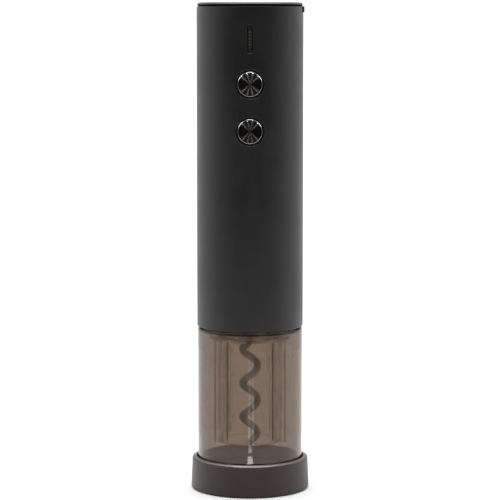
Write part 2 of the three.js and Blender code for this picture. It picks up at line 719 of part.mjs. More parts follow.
for (const [which, height] of Object.entries(buttonHeights)) {
  const bezelProfile = [
    [bezelBore, 0],
    [bezelRadius, 0],
    [bezelRadius, bezelHeight],
    [bezelBore + bezelChamfer, bezelHeight],
    [bezelBore, bezelHeight - bezelChamfer],
    [bezelBore, 0],
  ];
  const bezel = turned(bezelProfile, midSides)
    .rotateX(Math.PI / 2)
    .translate(0, pocketBottom - seat, height);
  piece(`${which}_bezel`, bezel, paint.chrome, 0.12, 1);

  const face = barAlongY(0, height, buttonRadius, buttonFront, buttonBack);
  const stem = barAlongY(0, height, stemRadius, buttonBack - seat, switchFront + stemEntry, smallSides);
  piece(`${which}_button`, join(face, stem), paint.blackNickel, 0.25, 1);

  const half = switchSize / 2;
  const switchBody = box([-half, switchFront, height - half], [half, boardFront - seat, height + half]);
  const wellBack = switchFront + wellDepth;
  const well = barAlongY(0, height, stemRadius + running, switchFront - seat, wellBack, smallSides);
  piece(`${which}_switch`, cut(switchBody, well), paint.black, 0.5);
}

const lensFront = -bodyRadius + windowDepth;
const flangeFront = lensSetback - bodyBore;
const flangeBack = flangeFront + lensFlange;
const flangeWidth = windowWidth + 2 * lensLip;
const flangeLength = windowLength + 2 * lensLip;
const lensWidth = windowWidth - 2 * seat;
const lensLength = windowLength - 2 * seat;
piece("indicator_lens",
  join(
    capsuleAlongY(windowHeight, lensWidth, lensLength, lensFront, flangeFront + seat),
    capsuleAlongY(windowHeight, flangeWidth, flangeLength, flangeFront, flangeBack),
  ),
  paint.darkPlastic, 0.15);

piece("light_bar",
  box(
    [-lightBarWidth / 2, flangeBack + seat, windowHeight - lightBarLength / 2],
    [lightBarWidth / 2, boardFront - seat, windowHeight + lightBarLength / 2],
  ),
  paint.nylon, 0.4);

// ---------- charging socket and its flap ----------
const portFront = bodyBore + bodyWall / 2;
const portBoardTop = portShelfTop + seat + portBoardThickness;
const portBoardHalf = portBoardWidth / 2;
piece("port_board",
  box([portBoardBack, -portBoardHalf, portShelfTop + seat], [portBoardFront, portBoardHalf, portBoardTop]),
  paint.boardGreen, 0.5);
const portShell = box(
  [portFront - portDepth, -portWidth / 2, portBottom],
  [portFront, portWidth / 2, portTop],
);
const portHollow = box(
  [portFront - portDepth + portWall, portWall - portWidth / 2, portBottom + portWall],
  [portFront + seat, portWidth / 2 - portWall, portTop - portWall],
);
piece("charge_port", cut(portShell, portHollow), paint.chrome, 0.3, 1);

const flapBottom = portMiddle - flapHeight / 2;
const flapTop = portMiddle + flapHeight / 2;
const flapArc = Math.asin(flapWidth / 2 / bodyRadius);
const flapOutline = new THREE.Shape();
flapOutline.absarc(0, 0, bodyRadius + flapGap + flapThickness, -flapArc, flapArc);
flapOutline.absarc(0, 0, bodyRadius + flapGap, flapArc, -flapArc, true);
const plugInset = portWall + flapPlugGap;
const flapPlug = box(
  [bodyRadius - flapPlugDepth, 2 * flapGap + plugInset - portWidth / 2, portBottom + plugInset],
  [bodyRadius + flapThickness / 2, portWidth / 2 - plugInset, portTop - plugInset],
);
piece("port_flap", join(flatExtrusion(flapOutline, flapBottom, flapTop, 8), flapPlug), paint.black, 0.7);

// ---------- housing and cap ----------
const tube = turned([
  [bodyBore, bodyBottom],
  [bodyRadius - edgeRound, bodyBottom],
  [bodyRadius, bodyBottom + edgeRound],
  [bodyRadius, bodyTop - edgeRound],
  [bodyRadius - edgeRound, bodyTop],
  [bodyBore, bodyTop],
  [bodyBore, bodyBottom],
]);
const pocketBack = pocketBottom + pocketFloor;
const bosses = Object.values(buttonHeights).map((height) =>
  barAlongY(0, height, pocketRadius + pocketRim, -bodyBore - bodyWall / 4, pocketBack));
const tubeWithBosses = join(tube, ...bosses);
const pockets = Object.values(buttonHeights).map((height) =>
  barAlongY(0, height, pocketRadius, -bodyRadius - seat, pocketBottom));
const stemHoles = Object.values(buttonHeights).map((height) =>
  barAlongY(0, height, stemRadius + stemGap, -bodyRadius, pocketBack + seat, smallSides));
const windowSlot =
  capsuleAlongY(windowHeight, windowWidth, windowLength, -bodyRadius - seat, bodyWall - bodyBore);
const portNotch = box(
  [bodyBore - bodyWall, -portWidth / 2 - seat, portBottom - seat],
  [bodyRadius + seat, portWidth / 2 + seat, bodyTop + seat],
);
piece("housing_shell", cut(tubeWithBosses, ...pockets, ...stemHoles, windowSlot, portNotch),
  paint.softBlack, 0.55);

const capBottom = bodyTop + capGroove;
const capTop = capBottom + capThickness;
const capRadius = bodyRadius - capInset;
const cap = turned([
  [0, capBottom],
  [capRadius - edgeRound, capBottom],
  [capRadius, capBottom + edgeRound],
  [capRadius, capTop - capRound / 2],
  [capRadius - capRound / 2, capTop],
  [0, capTop],
]);
const capNeckBottom = bodyTop - capNeckDepth;
const capNeck = ring(innerRadius - capNeckWall, innerRadius, capNeckBottom, capBottom + seat, innerSides);
const neckGap = box(
  [portBoardBack, -portWidth, capNeckBottom - seat],
  [bodyRadius, portWidth, bodyTop + capRest],
);
const grooveFloor = bodyRadius - capGrooveDepth;
const capStep = ring(innerRadius - capNeckWall, grooveFloor, bodyTop + capRest, capBottom + seat);
piece("top_cap", join(cap, capStep, cut(capNeck, neckGap)), paint.softBlack, 0.5);

// ---------- leads ----------
const leadOutline = new THREE.Shape().absarc(0, 0, leadRadius, 0, 2 * Math.PI);
function lead(name, color, points) {
  const path = new THREE.CatmullRomCurve3(points.map((point) => new THREE.Vector3(...point)));
  const settings = { steps: 10, curveSegments: 4, extrudePath: path, bevelEnabled: false };
  piece(name, new THREE.ExtrudeGeometry(leadOutline, settings), color, 0.5);
}
const leadLine = boardBack + leadRadius + seat; // along the back of the board
const terminalTop = motorTop + terminalHeight;
for (const [side, colorName] of [[-1, "red"], [1, "black"]]) {
  const across = side * leadSpread;
  lead(`motor_lead_${colorName}`, paint[colorName], [
    [across, leadLine, boardBottom + leadReach],
    [across, leadLine, boardBottom],
    [across, leadLine, frameFloor],
    [across, leadLine + leadRadius, frameBottom - leadRadius],
    [across, leadLine / 4, terminalTop - leadRadius],
    [across, -terminalThickness / 2 - seat - leadRadius, terminalTop - 2 * leadRadius],
  ]);
}
const leadEnd = tabFront - seat - leadRadius;
const leadBend = (leadLine + leadEnd) / 2;
const cellLeadSpread = leadSpread / 2;
lead("cell_lead_red", paint.red, [
  [cellLeadSpread, leadLine, frameCeiling - 2 * leadReach],
  [cellLeadSpread, leadLine + leadRadius, cellTop - leadReach],
  [cellLeadSpread, leadBend, cellTop - leadRadius],
  [cellLeadSpread, leadEnd, cellTop + seat],
]);
lead("cell_lead_black", paint.black, [
  [-cellLeadSpread, leadLine, boardBottom + leadReach],
  [-cellLeadSpread, leadLine + leadRadius, boardBottom],
  [-cellLeadSpread, leadBend, frameFloor + 3 * leadRadius],
  [-cellLeadSpread, leadEnd, frameFloor + leadRadius + seat],
]);

export default wineOpener;
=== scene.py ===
import math

import bmesh
import bpy
from mathutils import Matrix, Vector


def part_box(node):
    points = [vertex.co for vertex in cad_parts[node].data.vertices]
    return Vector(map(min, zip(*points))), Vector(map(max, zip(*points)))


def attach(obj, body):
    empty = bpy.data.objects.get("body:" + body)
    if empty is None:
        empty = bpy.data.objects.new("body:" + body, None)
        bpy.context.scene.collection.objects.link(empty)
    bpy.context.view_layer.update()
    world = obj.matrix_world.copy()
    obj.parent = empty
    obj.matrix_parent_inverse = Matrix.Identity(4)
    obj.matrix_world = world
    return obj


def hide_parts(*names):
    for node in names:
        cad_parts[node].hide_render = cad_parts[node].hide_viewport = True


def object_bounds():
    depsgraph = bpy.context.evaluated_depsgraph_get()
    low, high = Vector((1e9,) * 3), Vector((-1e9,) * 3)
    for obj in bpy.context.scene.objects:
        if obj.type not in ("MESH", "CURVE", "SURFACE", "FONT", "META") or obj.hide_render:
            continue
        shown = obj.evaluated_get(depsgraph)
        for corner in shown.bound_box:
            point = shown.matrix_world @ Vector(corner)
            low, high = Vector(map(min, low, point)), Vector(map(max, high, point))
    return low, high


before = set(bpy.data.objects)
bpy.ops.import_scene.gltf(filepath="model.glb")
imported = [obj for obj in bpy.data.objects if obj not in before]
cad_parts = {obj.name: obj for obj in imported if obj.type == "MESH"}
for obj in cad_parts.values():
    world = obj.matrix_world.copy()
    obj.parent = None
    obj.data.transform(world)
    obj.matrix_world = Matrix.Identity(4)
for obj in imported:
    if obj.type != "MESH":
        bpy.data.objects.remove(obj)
cadLow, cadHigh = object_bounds()
mm = 0.001
tiny = 1e-9
weldGap = 2e-6
filletShare = 0.48  # of the shorter side beside it, at most
print("frame loaded:", len(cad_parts), "nodes")


def lowOf(node):
    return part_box(node)[0]


def highOf(node):
    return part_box(node)[1]


def middleOf(node):
    return (lowOf(node) + highOf(node)) / 2


def radiusOf(node):
    low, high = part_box(node)
    return (high.x - low.x) / 2


def meshObject(name, bm):
    bmesh.ops.recalc_face_normals(bm, faces=bm.faces)
    mesh = bpy.data.meshes.new(name)
    bm.to_mesh(mesh)
    bm.free()
    thing = bpy.data.objects.new(name, mesh)
    bpy.context.scene.collection.objects.link(thing)
    return thing


def smoothed(thing, angle):
    thing.data.shade_smooth()
    thing.data.set_sharp_from_angle(angle=math.radians(angle))
    flow = thing.modifiers.new("evenNormals", "WEIGHTED_NORMAL")
    flow.keep_sharp = True


def softEdges(thing, width, segments=2, angle=35):
    bevel = thing.modifiers.new("softEdges", "BEVEL")
    bevel.width = width
    bevel.segments = segments
    bevel.limit_method = "ANGLE"
    bevel.angle_limit = math.radians(angle)
    bevel.use_clamp_overlap = False


def rounded(corners, steps):
    # corners are (radius, height) or (radius, height, fillet), in order round the outline
    outline = []
    for i, corner in enumerate(corners):
        here = Vector(corner[:2])
        fillet = corner[2] if len(corner) > 2 else 0
        back = Vector(corners[i - 1][:2]) - here
        on = Vector(corners[(i + 1) % len(corners)][:2]) - here
        if not fillet or back.length < tiny or on.length < tiny:
            outline.append(here)
            continue
        half = back.angle(on) / 2
        reach = min(fillet / math.tan(half), filletShare * back.length, filletShare * on.length)
        fillet = reach * math.tan(half)
        centre = here + (back.normalized() + on.normalized()).normalized() * fillet / math.sin(half)
        start = here + back.normalized() * reach - centre
        turn = start.angle_signed(here + on.normalized() * reach - centre)
        for k in range(steps + 1):
            a = -turn * k / steps
            outline.append(centre + Vector((start.x * math.cos(a) - start.y * math.sin(a),
                                            start.x * math.sin(a) + start.y * math.cos(a))))
    return outline


def turned(name, corners, sides=192, steps=5):
    # the outline spun round the Z axis; it closes on itself unless both its ends lie on the axis
    outline = rounded(corners, steps)
    bm = bmesh.new()
    rings = []
    for point in outline:
        if point.x < tiny:
            rings.append([bm.verts.new((0, 0, point.y))] * sides)
        else:
            rings.append([bm.verts.new((x, y, point.y)) for x, y in circleAt(0, 0, point.x, sides)])
    pairs = list(zip(rings, rings[1:]))
    if outline[0].x >= tiny or outline[-1].x >= tiny:
        pairs.append((rings[-1], rings[0]))
    for near, far in pairs:
        for i in range(sides):
            k = (i + 1) % sides
            face = list(dict.fromkeys((near[i], near[k], far[k], far[i])))
            if len(face) > 2:
                bm.faces.new(face)
    bmesh.ops.remove_doubles(bm, verts=bm.verts, dist=1e-7)
    return meshObject(name, bm)


def extruded(name, outline, near, far, along="Y"):
    # a slab from near to far: its outline is (x, z) when it runs along Y, (x, y) along Z
    bm = bmesh.new()
    place = (lambda p, d: (p[0], d, p[1])) if along == "Y" else (lambda p, d: (p[0], p[1], d))
    first = [bm.verts.new(place(p, near)) for p in outline]
    last = [bm.verts.new(place(p, far)) for p in outline]
    bm.faces.new(first)
    bm.faces.new(last)
    for i in range(len(outline)):
        k = (i + 1) % len(outline)
        bm.faces.new((first[i], first[k], last[k], last[i]))
    return meshObject(name, bm)


def circleAt(x, y, radius, sides=48):
    turns = [2 * math.pi * i / sides for i in range(sides)]
    return [(x + radius * math.cos(turn), y + radius * math.sin(turn)) for turn in turns]


def capsuleAt(x, z, width, length, sides=20):
    # a slot with round ends, long along Z
    r = width / 2
    straight = length / 2 - r
    turns = [math.pi * i / sides for i in range(sides + 1)]
    upper = [(x + r * math.cos(turn), z + straight + r * math.sin(turn)) for turn in turns]
    lower = [(x - r * math.cos(turn), z - straight - r * math.sin(turn)) for turn in turns]
    return upper + lower


def rectangleAt(left, right, low, high):
    return [(left, low), (right, low), (right, high), (left, high)]


def carved(thing, tools, way="DIFFERENCE"):
    # cuts or joins the tools for good and takes them out of the scene
    for tool in tools:
        step = thing.modifiers.new("carve", "BOOLEAN")
        step.operation = way
        step.solver = "EXACT"
        step.object = tool
    bpy.context.view_layer.update()
    shaped = bpy.data.meshes.new_from_object(thing.evaluated_get(bpy.context.evaluated_depsgraph_get()))
    thing.modifiers.clear()
    thing.data = shaped
    for tool in tools:
        bpy.data.objects.remove(tool)
    bm = bmesh.new()
    bm.from_mesh(thing.data)
    bmesh.ops.remove_doubles(bm, verts=bm.verts, dist=weldGap)
    bmesh.ops.dissolve_degenerate(bm, edges=bm.edges, dist=weldGap)
    bm.to_mesh(thing.data)
    bm.free()


def facingFront(thing, centre):
    # a piece turned about Z now faces -Y, with its own origin at centre
    thing.data.transform(Matrix.Rotation(math.pi / 2, 4, "X"))
    thing.location = centre


def placed(thing, body, node, finish, angle=40):
    smoothed(thing, angle)
    thing.data.materials.clear()
    thing.data.materials.append(finish)
    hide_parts(node)
    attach(thing, body)


def newGroup(name, inputs, outputs):
    group = bpy.data.node_groups.new(name, "ShaderNodeTree")
    for label, start in inputs:
        socket = group.interface.new_socket(name=label, in_out="INPUT", socket_type="NodeSocketFloat")
        socket.default_value = start
    for label in outputs:
        group.interface.new_socket(name=label, in_out="OUTPUT", socket_type="NodeSocketFloat")
    enter = group.nodes.new("NodeGroupInput")
    leave = group.nodes.new("NodeGroupOutput")
    return group, enter.outputs, leave.inputs


def feed(tree, socket, value):
    # numbers and colours are set on the socket, anything else is linked to it
    if isinstance(value, tuple):
        socket.default_value = (*value, 1)
    elif isinstance(value, (int, float)):
        socket.default_value = value
    else:
        tree.links.new(value, socket)


def feedAll(tree, node, values):
    for label, value in values.items():
        feed(tree, node.inputs[label], value)


def mathNode(tree, operation, *values):
    node = tree.nodes.new("ShaderNodeMath")
    node.operation = operation
    for socket, value in zip(node.inputs, values):
        feed(tree, socket, value)
    return node.outputs[0]


def product(tree, result, *factors):
    for factor in factors:
        result = mathNode(tree, "MULTIPLY", result, factor)
    return result


def noiseNode(tree, vector, scale, detail=3.0, roughness=0.55):
    node = tree.nodes.new("ShaderNodeTexNoise")
    feedAll(tree, node, {"Vector": vector, "Scale": scale, "Detail": detail, "Roughness": roughness})
    return node.outputs["Fac"]


def spread(tree, value, low, high, toLow=0.0, toHigh=1.0):
    node = tree.nodes.new("ShaderNodeMapRange")
    node.interpolation_type = "SMOOTHSTEP"
    feedAll(tree, node, {"Value": value, "From Min": low, "From Max": high,
                         "To Min": toLow, "To Max": toHigh})
    return node.outputs["Result"]


def mixColours(tree, share, first, second):
    node = tree.nodes.new("ShaderNodeMix")
    node.data_type = "RGBA"
    feedAll(tree, node, {"Factor": share, "A": first, "B": second})
    return node.outputs["Result"]


def objectPoint(tree):
    return tree.nodes.new("ShaderNodeTexCoord").outputs["Object"]


def splitUp(tree, vector):
    split = tree.nodes.new("ShaderNodeSeparateXYZ")
    tree.links.new(vector, split.inputs[0])
    return split.outputs


def lengthOf(tree, across, along):
    squares = [mathNode(tree, "MULTIPLY", side, side) for side in (across, along)]
    return mathNode(tree, "SQRT", mathNode(tree, "ADD", *squares))


def makeGrainGroup():
    # fine moulded grain: a height for the bump and a slow tone that varies over the surface
    group, enter, leave = newGroup(
        "mouldedGrain", [("Grain Scale", 3000.0), ("Patch Scale", 60.0)], ["Height", "Tone"])
    point = objectPoint(group)
    fine = noiseNode(group, point, enter["Grain Scale"], detail=2.0)
    slow = noiseNode(group, point, enter["Patch Scale"], detail=4.0)
    group.links.new(fine, leave["Height"])
    group.links.new(spread(group, slow, 0.32, 0.68), leave["Tone"])
    return group


def makeEdgeWearGroup():
    # where edges have been rubbed: convex places broken up by a patchy noise
    group, enter, leave = newGroup(
        "edgeWear", [("Start", 0.52), ("Width", 0.06), ("Break Up", 400.0)], ["Mask"])
    sharpness = group.nodes.new("ShaderNodeNewGeometry").outputs["Pointiness"]
    end = mathNode(group, "ADD", enter["Start"], enter["Width"])
    rim = spread(group, sharpness, enter["Start"], end)
    patches = spread(group, noiseNode(group, objectPoint(group), enter["Break Up"]), 0.35, 0.6)
    group.links.new(product(group, rim, patches), leave["Mask"])
    return group


def makeDustGroup():
    # thin dust on what faces up
    group, enter, leave = newGroup("settledDust", [("Amount", 0.3), ("Speck Scale", 900.0)], ["Mask"])
    normal = group.nodes.new("ShaderNodeNewGeometry").outputs["Normal"]
    upward = spread(group, splitUp(group, normal)["Z"], 0.55, 1.0)
    noise = noiseNode(group, objectPoint(group), enter["Speck Scale"], detail=5.0, roughness=0.7)
    specks = spread(group, noise, 0.5, 0.72)
    group.links.new(product(group, upward, specks, enter["Amount"]), leave["Mask"])
    return group


def makeTurningMarksGroup():
    # marks of a lathe, one after another along Z, or outward from it when Radial is 1
    group, enter, leave = newGroup(
        "turningMarks", [("Mark Scale", 2500.0), ("Radial", 0.0)], ["Height", "Tone"])
    sides = splitUp(group, objectPoint(group))
    across = product(group, lengthOf(group, sides["X"], sides["Y"]), enter["Radial"])
    straight = product(group, sides["Z"], mathNode(group, "SUBTRACT", 1.0, enter["Radial"]))
    join = group.nodes.new("ShaderNodeCombineXYZ")
    group.links.new(mathNode(group, "ADD", straight, across), join.inputs["Z"])
    marks = noiseNode(group, join.outputs[0], enter["Mark Scale"], roughness=0.7)
    group.links.new(marks, leave["Height"])
    group.links.new(spread(group, marks, 0.35, 0.65), leave["Tone"])
    return group


def makeSpunFaceGroup():
    # fine rings spun round the middle of a button, whose axis is the piece's own Y
    group, enter, leave = newGroup("spunFace", [("Ring Scale", 9000.0)], ["Tone"])
    sides = splitUp(group, objectPoint(group))
    join = group.nodes.new("ShaderNodeCombineXYZ")
    group.links.new(lengthOf(group, sides["X"], sides["Z"]), join.inputs["X"])
    rings = noiseNode(group, join.outputs[0], enter["Ring Scale"], detail=2.0, roughness=0.7)
    group.links.new(spread(group, rings, 0.35, 0.65), leave["Tone"])
    return group


groups = {
    "grain": makeGrainGroup(),
    "wear": makeEdgeWearGroup(),
    "dust": makeDustGroup(),
    "marks": makeTurningMarksGroup(),
    "spun": makeSpunFaceGroup(),
}
print("shader groups made:", len(groups))


def setInputs(node, settings):
    for label, value in settings.items():
        node.inputs[label.replace("_", " ")].default_value = value


def newFinish(name, **settings):
    finish = bpy.data.materials.new(name)
    finish.use_nodes = True
    tree = finish.node_tree
    shader = tree.nodes["Principled BSDF"]
    setInputs(shader, settings)
    return finish, tree, shader


def addGroup(tree, which, **settings):
    node = tree.nodes.new("ShaderNodeGroup")
    node.node_tree = groups[which]
    setInputs(node, settings)
    return node.outputs


def addBump(tree, shader, height, depth):
    bump = tree.nodes.new("ShaderNodeBump")
    bump.inputs["Distance"].default_value = depth
    tree.links.new(height, bump.inputs["Height"])
    tree.links.new(bump.outputs["Normal"], shader.inputs["Normal"])


def throughClear(tree):
    # 1 for rays that have come through clear plastic
    return tree.nodes.new("ShaderNodeLightPath").outputs["Is Transmission Ray"]


recess = {
    "radius": 25.4 * mm,
    "bottom": 7.5 * mm,
    "edge": 0.2 * mm,
    "polish": 0.3,
    # the recess wall's painted glow: its colour, its share at the bottom, and where it rises to full
    "glow": (0.3, 0.205, 0.17),
    "bottomPaintedGlow": 0.25,
    "paintedGlowStart": 0.5 * mm,
    "paintedGlowEnd": 2.5 * mm,
}


def addPolishedRecessWithPaintedGlow(tree, shader, rough):
    # a polished recess round the axis; its wall has a painted glow, an emission seen only through clear
    # plastic and weaker towards the bottom
    sides = splitUp(tree, objectPoint(tree))
    radius, bottom = recess["radius"], recess["bottom"]
    beside = spread(tree, lengthOf(tree, sides["X"], sides["Y"]), radius, radius + recess["edge"])
    below = spread(tree, sides["Z"], bottom - recess["edge"], bottom, 1.0, 0.0)
    outside = mathNode(tree, "MAXIMUM", beside, below)
    inside = mathNode(tree, "SUBTRACT", 1.0, outside)
    wall = spread(tree, sides["Z"], bottom + recess["paintedGlowStart"], bottom + recess["paintedGlowEnd"],
                  recess["bottomPaintedGlow"], 1.0)
    share = product(tree, inside, wall, throughClear(tree))
    glow = mixColours(tree, share, (0.0, 0.0, 0.0), recess["glow"])
    tree.links.new(glow, shader.inputs["Emission Color"])
    shader.inputs["Emission Strength"].default_value = 1.0
    return product(tree, rough, spread(tree, outside, 0.0, 1.0, recess["polish"], 1.0))


moulded = {
    "dustColour": (0.42, 0.4, 0.38),
    "wearShare": 0.5,
    "roughnessSway": 0.03,
}


def mouldedFinish(name, dark, light, worn, roughness, grainScale=3000.0, patchScale=60.0, depth=0.01 * mm,
                  dustAmount=0.15, withPaintedGlowRecess=False, **settings):
    # plastic or rubber: grain, slow tone changes, rubbed edges and a little dust
    finish, tree, shader = newFinish(name, **settings)
    grain = addGroup(tree, "grain", Grain_Scale=grainScale, Patch_Scale=patchScale)
    wear = product(tree, addGroup(tree, "wear")["Mask"], moulded["wearShare"])
    dust = addGroup(tree, "dust", Amount=dustAmount)["Mask"]
    base = mixColours(tree, grain["Tone"], dark, light)
    colour = mixColours(tree, dust, mixColours(tree, wear, base, worn), moulded["dustColour"])
    sway = moulded["roughnessSway"]
    rough = spread(tree, grain["Tone"], 0.0, 1.0, roughness - sway, roughness + sway)
    if withPaintedGlowRecess:
        rough = addPolishedRecessWithPaintedGlow(tree, shader, rough)
    tree.links.new(colour, shader.inputs["Base Color"])
    tree.links.new(rough, shader.inputs["Roughness"])
    addBump(tree, shader, grain["Height"], depth)
    return finish


metalSway = (-0.05, 0.07)


def metalFinish(name, dark, light, roughness, markScale=2500.0, radial=0.0, depth=0.004 * mm):
    # cut or turned metal: tool marks in tone, roughness and height
    finish, tree, shader = newFinish(name, Metallic=1.0)
    marks = addGroup(tree, "marks", Mark_Scale=markScale, Radial=radial)
    tree.links.new(mixColours(tree, marks["Tone"], dark, light), shader.inputs["Base Color"])
    rough = spread(tree, marks["Tone"], 0.0, 1.0, *[roughness + sway for sway in metalSway])
    tree.links.new(rough, shader.inputs["Roughness"])
    addBump(tree, shader, marks["Height"], depth)
    return finish


softTouchBlack = mouldedFinish("softTouchBlack", (0.0049, 0.0047, 0.0048), (0.0067, 0.0064, 0.0064),
                               (0.04, 0.038, 0.036), 0.38, depth=0.006 * mm, dustAmount=0.08,
                               Specular_IOR_Level=0.56, Specular_Tint=(1, 0.945, 0.95, 1))
basePlastic = mouldedFinish("basePlastic", (0.0105, 0.0076, 0.0066), (0.014, 0.0104, 0.009),
                            (0.06, 0.052, 0.046), 0.42, depth=0.008 * mm, dustAmount=0.1,
                            withPaintedGlowRecess=True,
                            Specular_IOR_Level=0.56, Specular_Tint=(1, 0.89, 0.84, 1))
flapRubber = mouldedFinish("flapRubber", (0.012, 0.012, 0.012), (0.018, 0.0175, 0.017),
                           (0.04, 0.04, 0.04), 0.6, grainScale=2200.0, depth=0.012 * mm)
# near-black, dull finish for the cap's groove: painted shade
paintedGrooveShade = mouldedFinish("paintedGrooveShade", (0.0015, 0.0015, 0.0015), (0.002, 0.002, 0.002),
                            (0.002, 0.002, 0.002), 0.9, dustAmount=0.0, Specular_IOR_Level=0.1)
innerPlastic = mouldedFinish("innerPlastic", (0.014, 0.014, 0.015), (0.02, 0.02, 0.021),
                             (0.05, 0.05, 0.05), 0.5)
framePlastic = mouldedFinish("framePlastic", (0.09, 0.095, 0.1), (0.12, 0.125, 0.13),
                             (0.2, 0.2, 0.2), 0.5, grainScale=1800.0)
gearNylon = mouldedFinish("gearNylon", (0.72, 0.7, 0.64), (0.8, 0.79, 0.74), (0.85, 0.84, 0.8), 0.38,
                          grainScale=1500.0, Subsurface_Weight=0.08)
boardGreen = mouldedFinish("boardGreen", (0.008, 0.09, 0.03), (0.012, 0.13, 0.045), (0.2, 0.22, 0.12), 0.35,
                           grainScale=700.0, patchScale=240.0, Coat_Weight=0.4)
cellWrap = mouldedFinish("cellWrap", (0.02, 0.09, 0.28), (0.026, 0.11, 0.34), (0.2, 0.3, 0.45), 0.3,
                         grainScale=500.0, Coat_Weight=0.5)
redSheath = mouldedFinish("redSheath", (0.42, 0.015, 0.012), (0.5, 0.025, 0.02), (0.6, 0.1, 0.08), 0.42)
blackSheath = mouldedFinish("blackSheath", (0.012, 0.012, 0.012), (0.02, 0.02, 0.02),
                            (0.06, 0.06, 0.06), 0.42)
turnedSteel = metalFinish("turnedSteel", (0.42, 0.42, 0.43), (0.56, 0.56, 0.57), 0.3)
cutterSteel = metalFinish("cutterSteel", (0.5, 0.5, 0.52), (0.64, 0.64, 0.66), 0.2, radial=1.0)
gearBrass = metalFinish("gearBrass", (0.55, 0.38, 0.15), (0.7, 0.5, 0.22), 0.28)
brightTrim = metalFinish("brightTrim", (0.18, 0.172, 0.169), (0.225, 0.214, 0.21), 0.16, markScale=6000.0,
                         depth=0.001 * mm)


def makeCoatedWormFinish():
    # dark satin coating over the wire, thin at its high places, and painted near-white where it is seen
    # through clear plastic: painted light
    finish, tree, shader = newFinish("coatedWorm", Metallic=0.0)
    grain = addGroup(tree, "grain", Grain_Scale=5200.0, Patch_Scale=350.0)
    wear = addGroup(tree, "wear", Start=0.56, Width=0.1)["Mask"]
    coat = mixColours(tree, grain["Tone"], (0.05, 0.048, 0.046), (0.07, 0.067, 0.065))
    # painted light: a near-white colour for rays that come through clear plastic
    paintedLightThroughClear = mixColours(tree, grain["Tone"], (0.86, 0.91, 0.97), (0.93, 0.98, 1.0))
    base = mixColours(tree, throughClear(tree), coat, paintedLightThroughClear)
    worn = mixColours(tree, product(tree, wear, 0.4), base, (0.5, 0.5, 0.5))
    tree.links.new(worn, shader.inputs["Base Color"])
    tree.links.new(spread(tree, grain["Tone"], 0.0, 1.0, 0.38, 0.48), shader.inputs["Roughness"])
    addBump(tree, shader, grain["Height"], 0.01 * mm)
    return finish


def makeSpunNickelFinish():
    # streaks run out from the middle of each button
    finish, tree, shader = newFinish("spunBlackNickel", Metallic=1.0, Anisotropic=1.0,
                                     Anisotropic_Rotation=0.25)
    tone = addGroup(tree, "spun")["Tone"]
    tangent = tree.nodes.new("ShaderNodeTangent")
    tangent.direction_type = "RADIAL"
    tangent.axis = "Y"
    tree.links.new(tangent.outputs["Tangent"], shader.inputs["Tangent"])
    colour = mixColours(tree, tone, (0.02, 0.0185, 0.0177), (0.028, 0.026, 0.025))
    tree.links.new(colour, shader.inputs["Base Color"])
    tree.links.new(spread(tree, tone, 0.0, 1.0, 0.12, 0.135), shader.inputs["Roughness"])
    return finish


clearTone = 0.98  # the darker tone's share of the tint


def makeClearFinish(name, tint, bend=1.49, haze=0.0, depthColour=None, depthDensity=0.0):
    # clear plastic: a faint tint with slow tone changes, darker with the depth of the wall
    finish, tree, shader = newFinish(name, Transmission_Weight=1.0, IOR=bend, Roughness=haze)
    tone = addGroup(tree, "grain", Grain_Scale=900.0, Patch_Scale=120.0)["Tone"]
    deeper = tuple(channel * clearTone for channel in tint)
    tree.links.new(mixColours(tree, tone, deeper, tint), shader.inputs["Base Color"])
    if depthColour:
        depth = tree.nodes.new("ShaderNodeVolumeAbsorption")
        depth.inputs["Color"].default_value = (*depthColour, 1)
        depth.inputs["Density"].default_value = depthDensity
        tree.links.new(depth.outputs["Volume"], tree.nodes["Material Output"].inputs["Volume"])
    return finish


lightSteps = {
    "pitch": 1.45 * mm,
    "lengthFade": (3.8 * mm, 4.2 * mm),
    "widthFade": (0.45 * mm, 0.75 * mm),
}


def makeLensFinish():
    # smoked window with the light bar's steps just showing through
    finish, tree, shader = newFinish("smokedLens", Coat_Weight=0.6, Coat_Roughness=0.06, Roughness=0.18)
    sides = splitUp(tree, objectPoint(tree))
    wave = mathNode(tree, "SINE", product(tree, sides["Z"], 2 * math.pi / lightSteps["pitch"]))
    steps = spread(tree, wave, -0.2, 0.7)
    inLength = spread(tree, mathNode(tree, "ABSOLUTE", sides["Z"]), *lightSteps["lengthFade"], 1.0, 0.0)
    inWidth = spread(tree, mathNode(tree, "ABSOLUTE", sides["X"]), *lightSteps["widthFade"], 1.0, 0.0)
    strip = mixColours(tree, steps, (0.016, 0.015, 0.008), (0.05, 0.046, 0.024))
    inside = product(tree, inLength, inWidth)
    tree.links.new(mixColours(tree, inside, (0.002, 0.002, 0.002), strip), shader.inputs["Base Color"])
    return finish


coatedWorm = makeCoatedWormFinish()
spunNickel = makeSpunNickelFinish()
smokeClear = makeClearFinish("smokeClear", (0.85, 0.82, 0.795),
                             depthColour=(0.442, 0.357, 0.295), depthDensity=640.0)
tubeClear = makeClearFinish("tubeClear", (0.98, 0.955, 0.92), 1.24, 0.12)
smokedLens = makeLensFinish()
print("finishes made:", len(bpy.data.materials))


housing = {
    "wall": 2 * mm,
    "endRound": 0.4 * mm,
    "topInset": 0.3 * mm,
    "topRound": 0.2 * mm,
    "pocketRadius": 6.55 * mm,
    "pocketDepth": 2.4 * mm,
    "pocketFloor": 1.2 * mm,
    "pocketRim": 0.8 * mm,
    "pocketEdge": 0.24 * mm,
    "ringMargin": 0.9 * mm,
    "stemHole": 2.3 * mm,
    "windowWidth": 2.7 * mm,
    "windowLength": 12.9 * mm,
    "portGap": 0.3 * mm,
}


